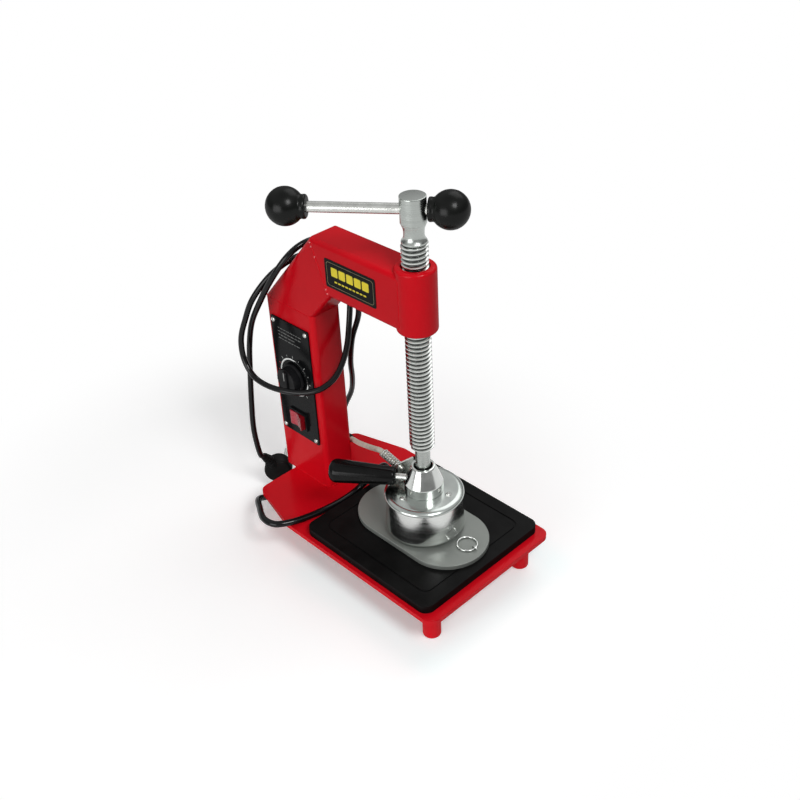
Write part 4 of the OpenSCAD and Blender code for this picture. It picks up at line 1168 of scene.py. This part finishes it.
# %% Glow
rays = add_node(tree, "LightPath").outputs
seen = maths(tree, 'MAXIMUM', rays["Is Camera Ray"], rays["Is Glossy Ray"])
seen = maths(tree, 'MAXIMUM', seen, rays["Is Transmission Ray"])
glow = add_node(tree, "Emission")
link(maths(tree, 'MULTIPLY', seen, glow_level), glow.inputs["Strength"])
both = add_node(tree, "AddShader")
link(shader.outputs["BSDF"], both.inputs[0])
link(glow.outputs["Emission"], both.inputs[1])
link(both.outputs["Shader"], tree.nodes["Material Output"].inputs["Surface"])
print("glow up to", FADE[1], "m from the middle of the sheet")

# %% [markdown]
# A large soft lamp stood low on the left, a smaller one high in front, whose shadow falls behind the
# column, and a weak one high on the right. A picture of a studio could light it too; area lamps keep
# the scene free of images and are easy to move.

# %% Lamps
AIM = Vector((0, 0.03, 0.2))
for name, place, size, power in (("left_soft", (-2.55, -0.25, 0.5), 1.8, 44),
                                 ("front_high", (-0.39, -1.76, 2.14), 0.8, 34),
                                 ("right_soft", (1.6, 0.3, 2.2), 1.8, 15)):
    data = bpy.data.lights.new(name, 'AREA')
    data.size = size
    data.energy = power
    lamp = bpy.data.objects.new(name, data)
    bpy.context.scene.collection.objects.link(lamp)
    lamp.location = place
    lamp.rotation_euler = (AIM - Vector(place)).to_track_quat('-Z', 'Y').to_euler()
    print("lamp", name, power, "W")

# %% [markdown]
# The sky is dim below and brighter above, which gives the chrome its dark and light bands. Glossy
# surfaces see it brighter than it lights them, and the eye sees plain white. One even grey would be
# simpler, but would leave the chrome flat.

# %% Sky
sky = bpy.data.worlds.new("sky")
bpy.context.scene.world = sky
sky.use_nodes = True
tree = sky.node_tree
link = tree.links.new
split = add_node(tree, "SeparateXYZ")
link(add_node(tree, "TexCoord").outputs["Generated"], split.inputs["Vector"])
climb = add_node(tree, "ValToRGB")
for spot, grey in ((0.0, 0.10), (0.25, 0.14), (0.5, 0.26), (0.75, 0.32)):
    stop = climb.color_ramp.elements.new(spot) if spot else climb.color_ramp.elements[0]
    stop.position = spot
    stop.color = (grey, grey, grey, 1)
climb.color_ramp.elements[-1].color = (0.24, 0.24, 0.24, 1)
link(split.outputs["Z"], climb.inputs["Fac"])
dim = tree.nodes["Background"]
link(climb.outputs["Color"], dim.inputs["Color"])
rays = add_node(tree, "LightPath").outputs
lift = add_node(tree, "MapRange", {"To Min": 1.0, "To Max": 2.4})
link(maths(tree, 'MAXIMUM', rays["Is Glossy Ray"], rays["Is Transmission Ray"]), lift.inputs["Value"])
link(lift.outputs["Result"], dim.inputs["Strength"])
white = add_node(tree, "Background", {"Color": (1, 1, 1, 1)})
choose = add_node(tree, "MixShader")
link(rays["Is Camera Ray"], choose.inputs["Fac"])
link(dim.outputs["Background"], choose.inputs[1])
link(white.outputs["Background"], choose.inputs[2])
link(choose.outputs["Shader"], tree.nodes["World Output"].inputs["Surface"])
bpy.context.scene.view_settings.view_transform = 'Standard'
print("sky", sky.name)
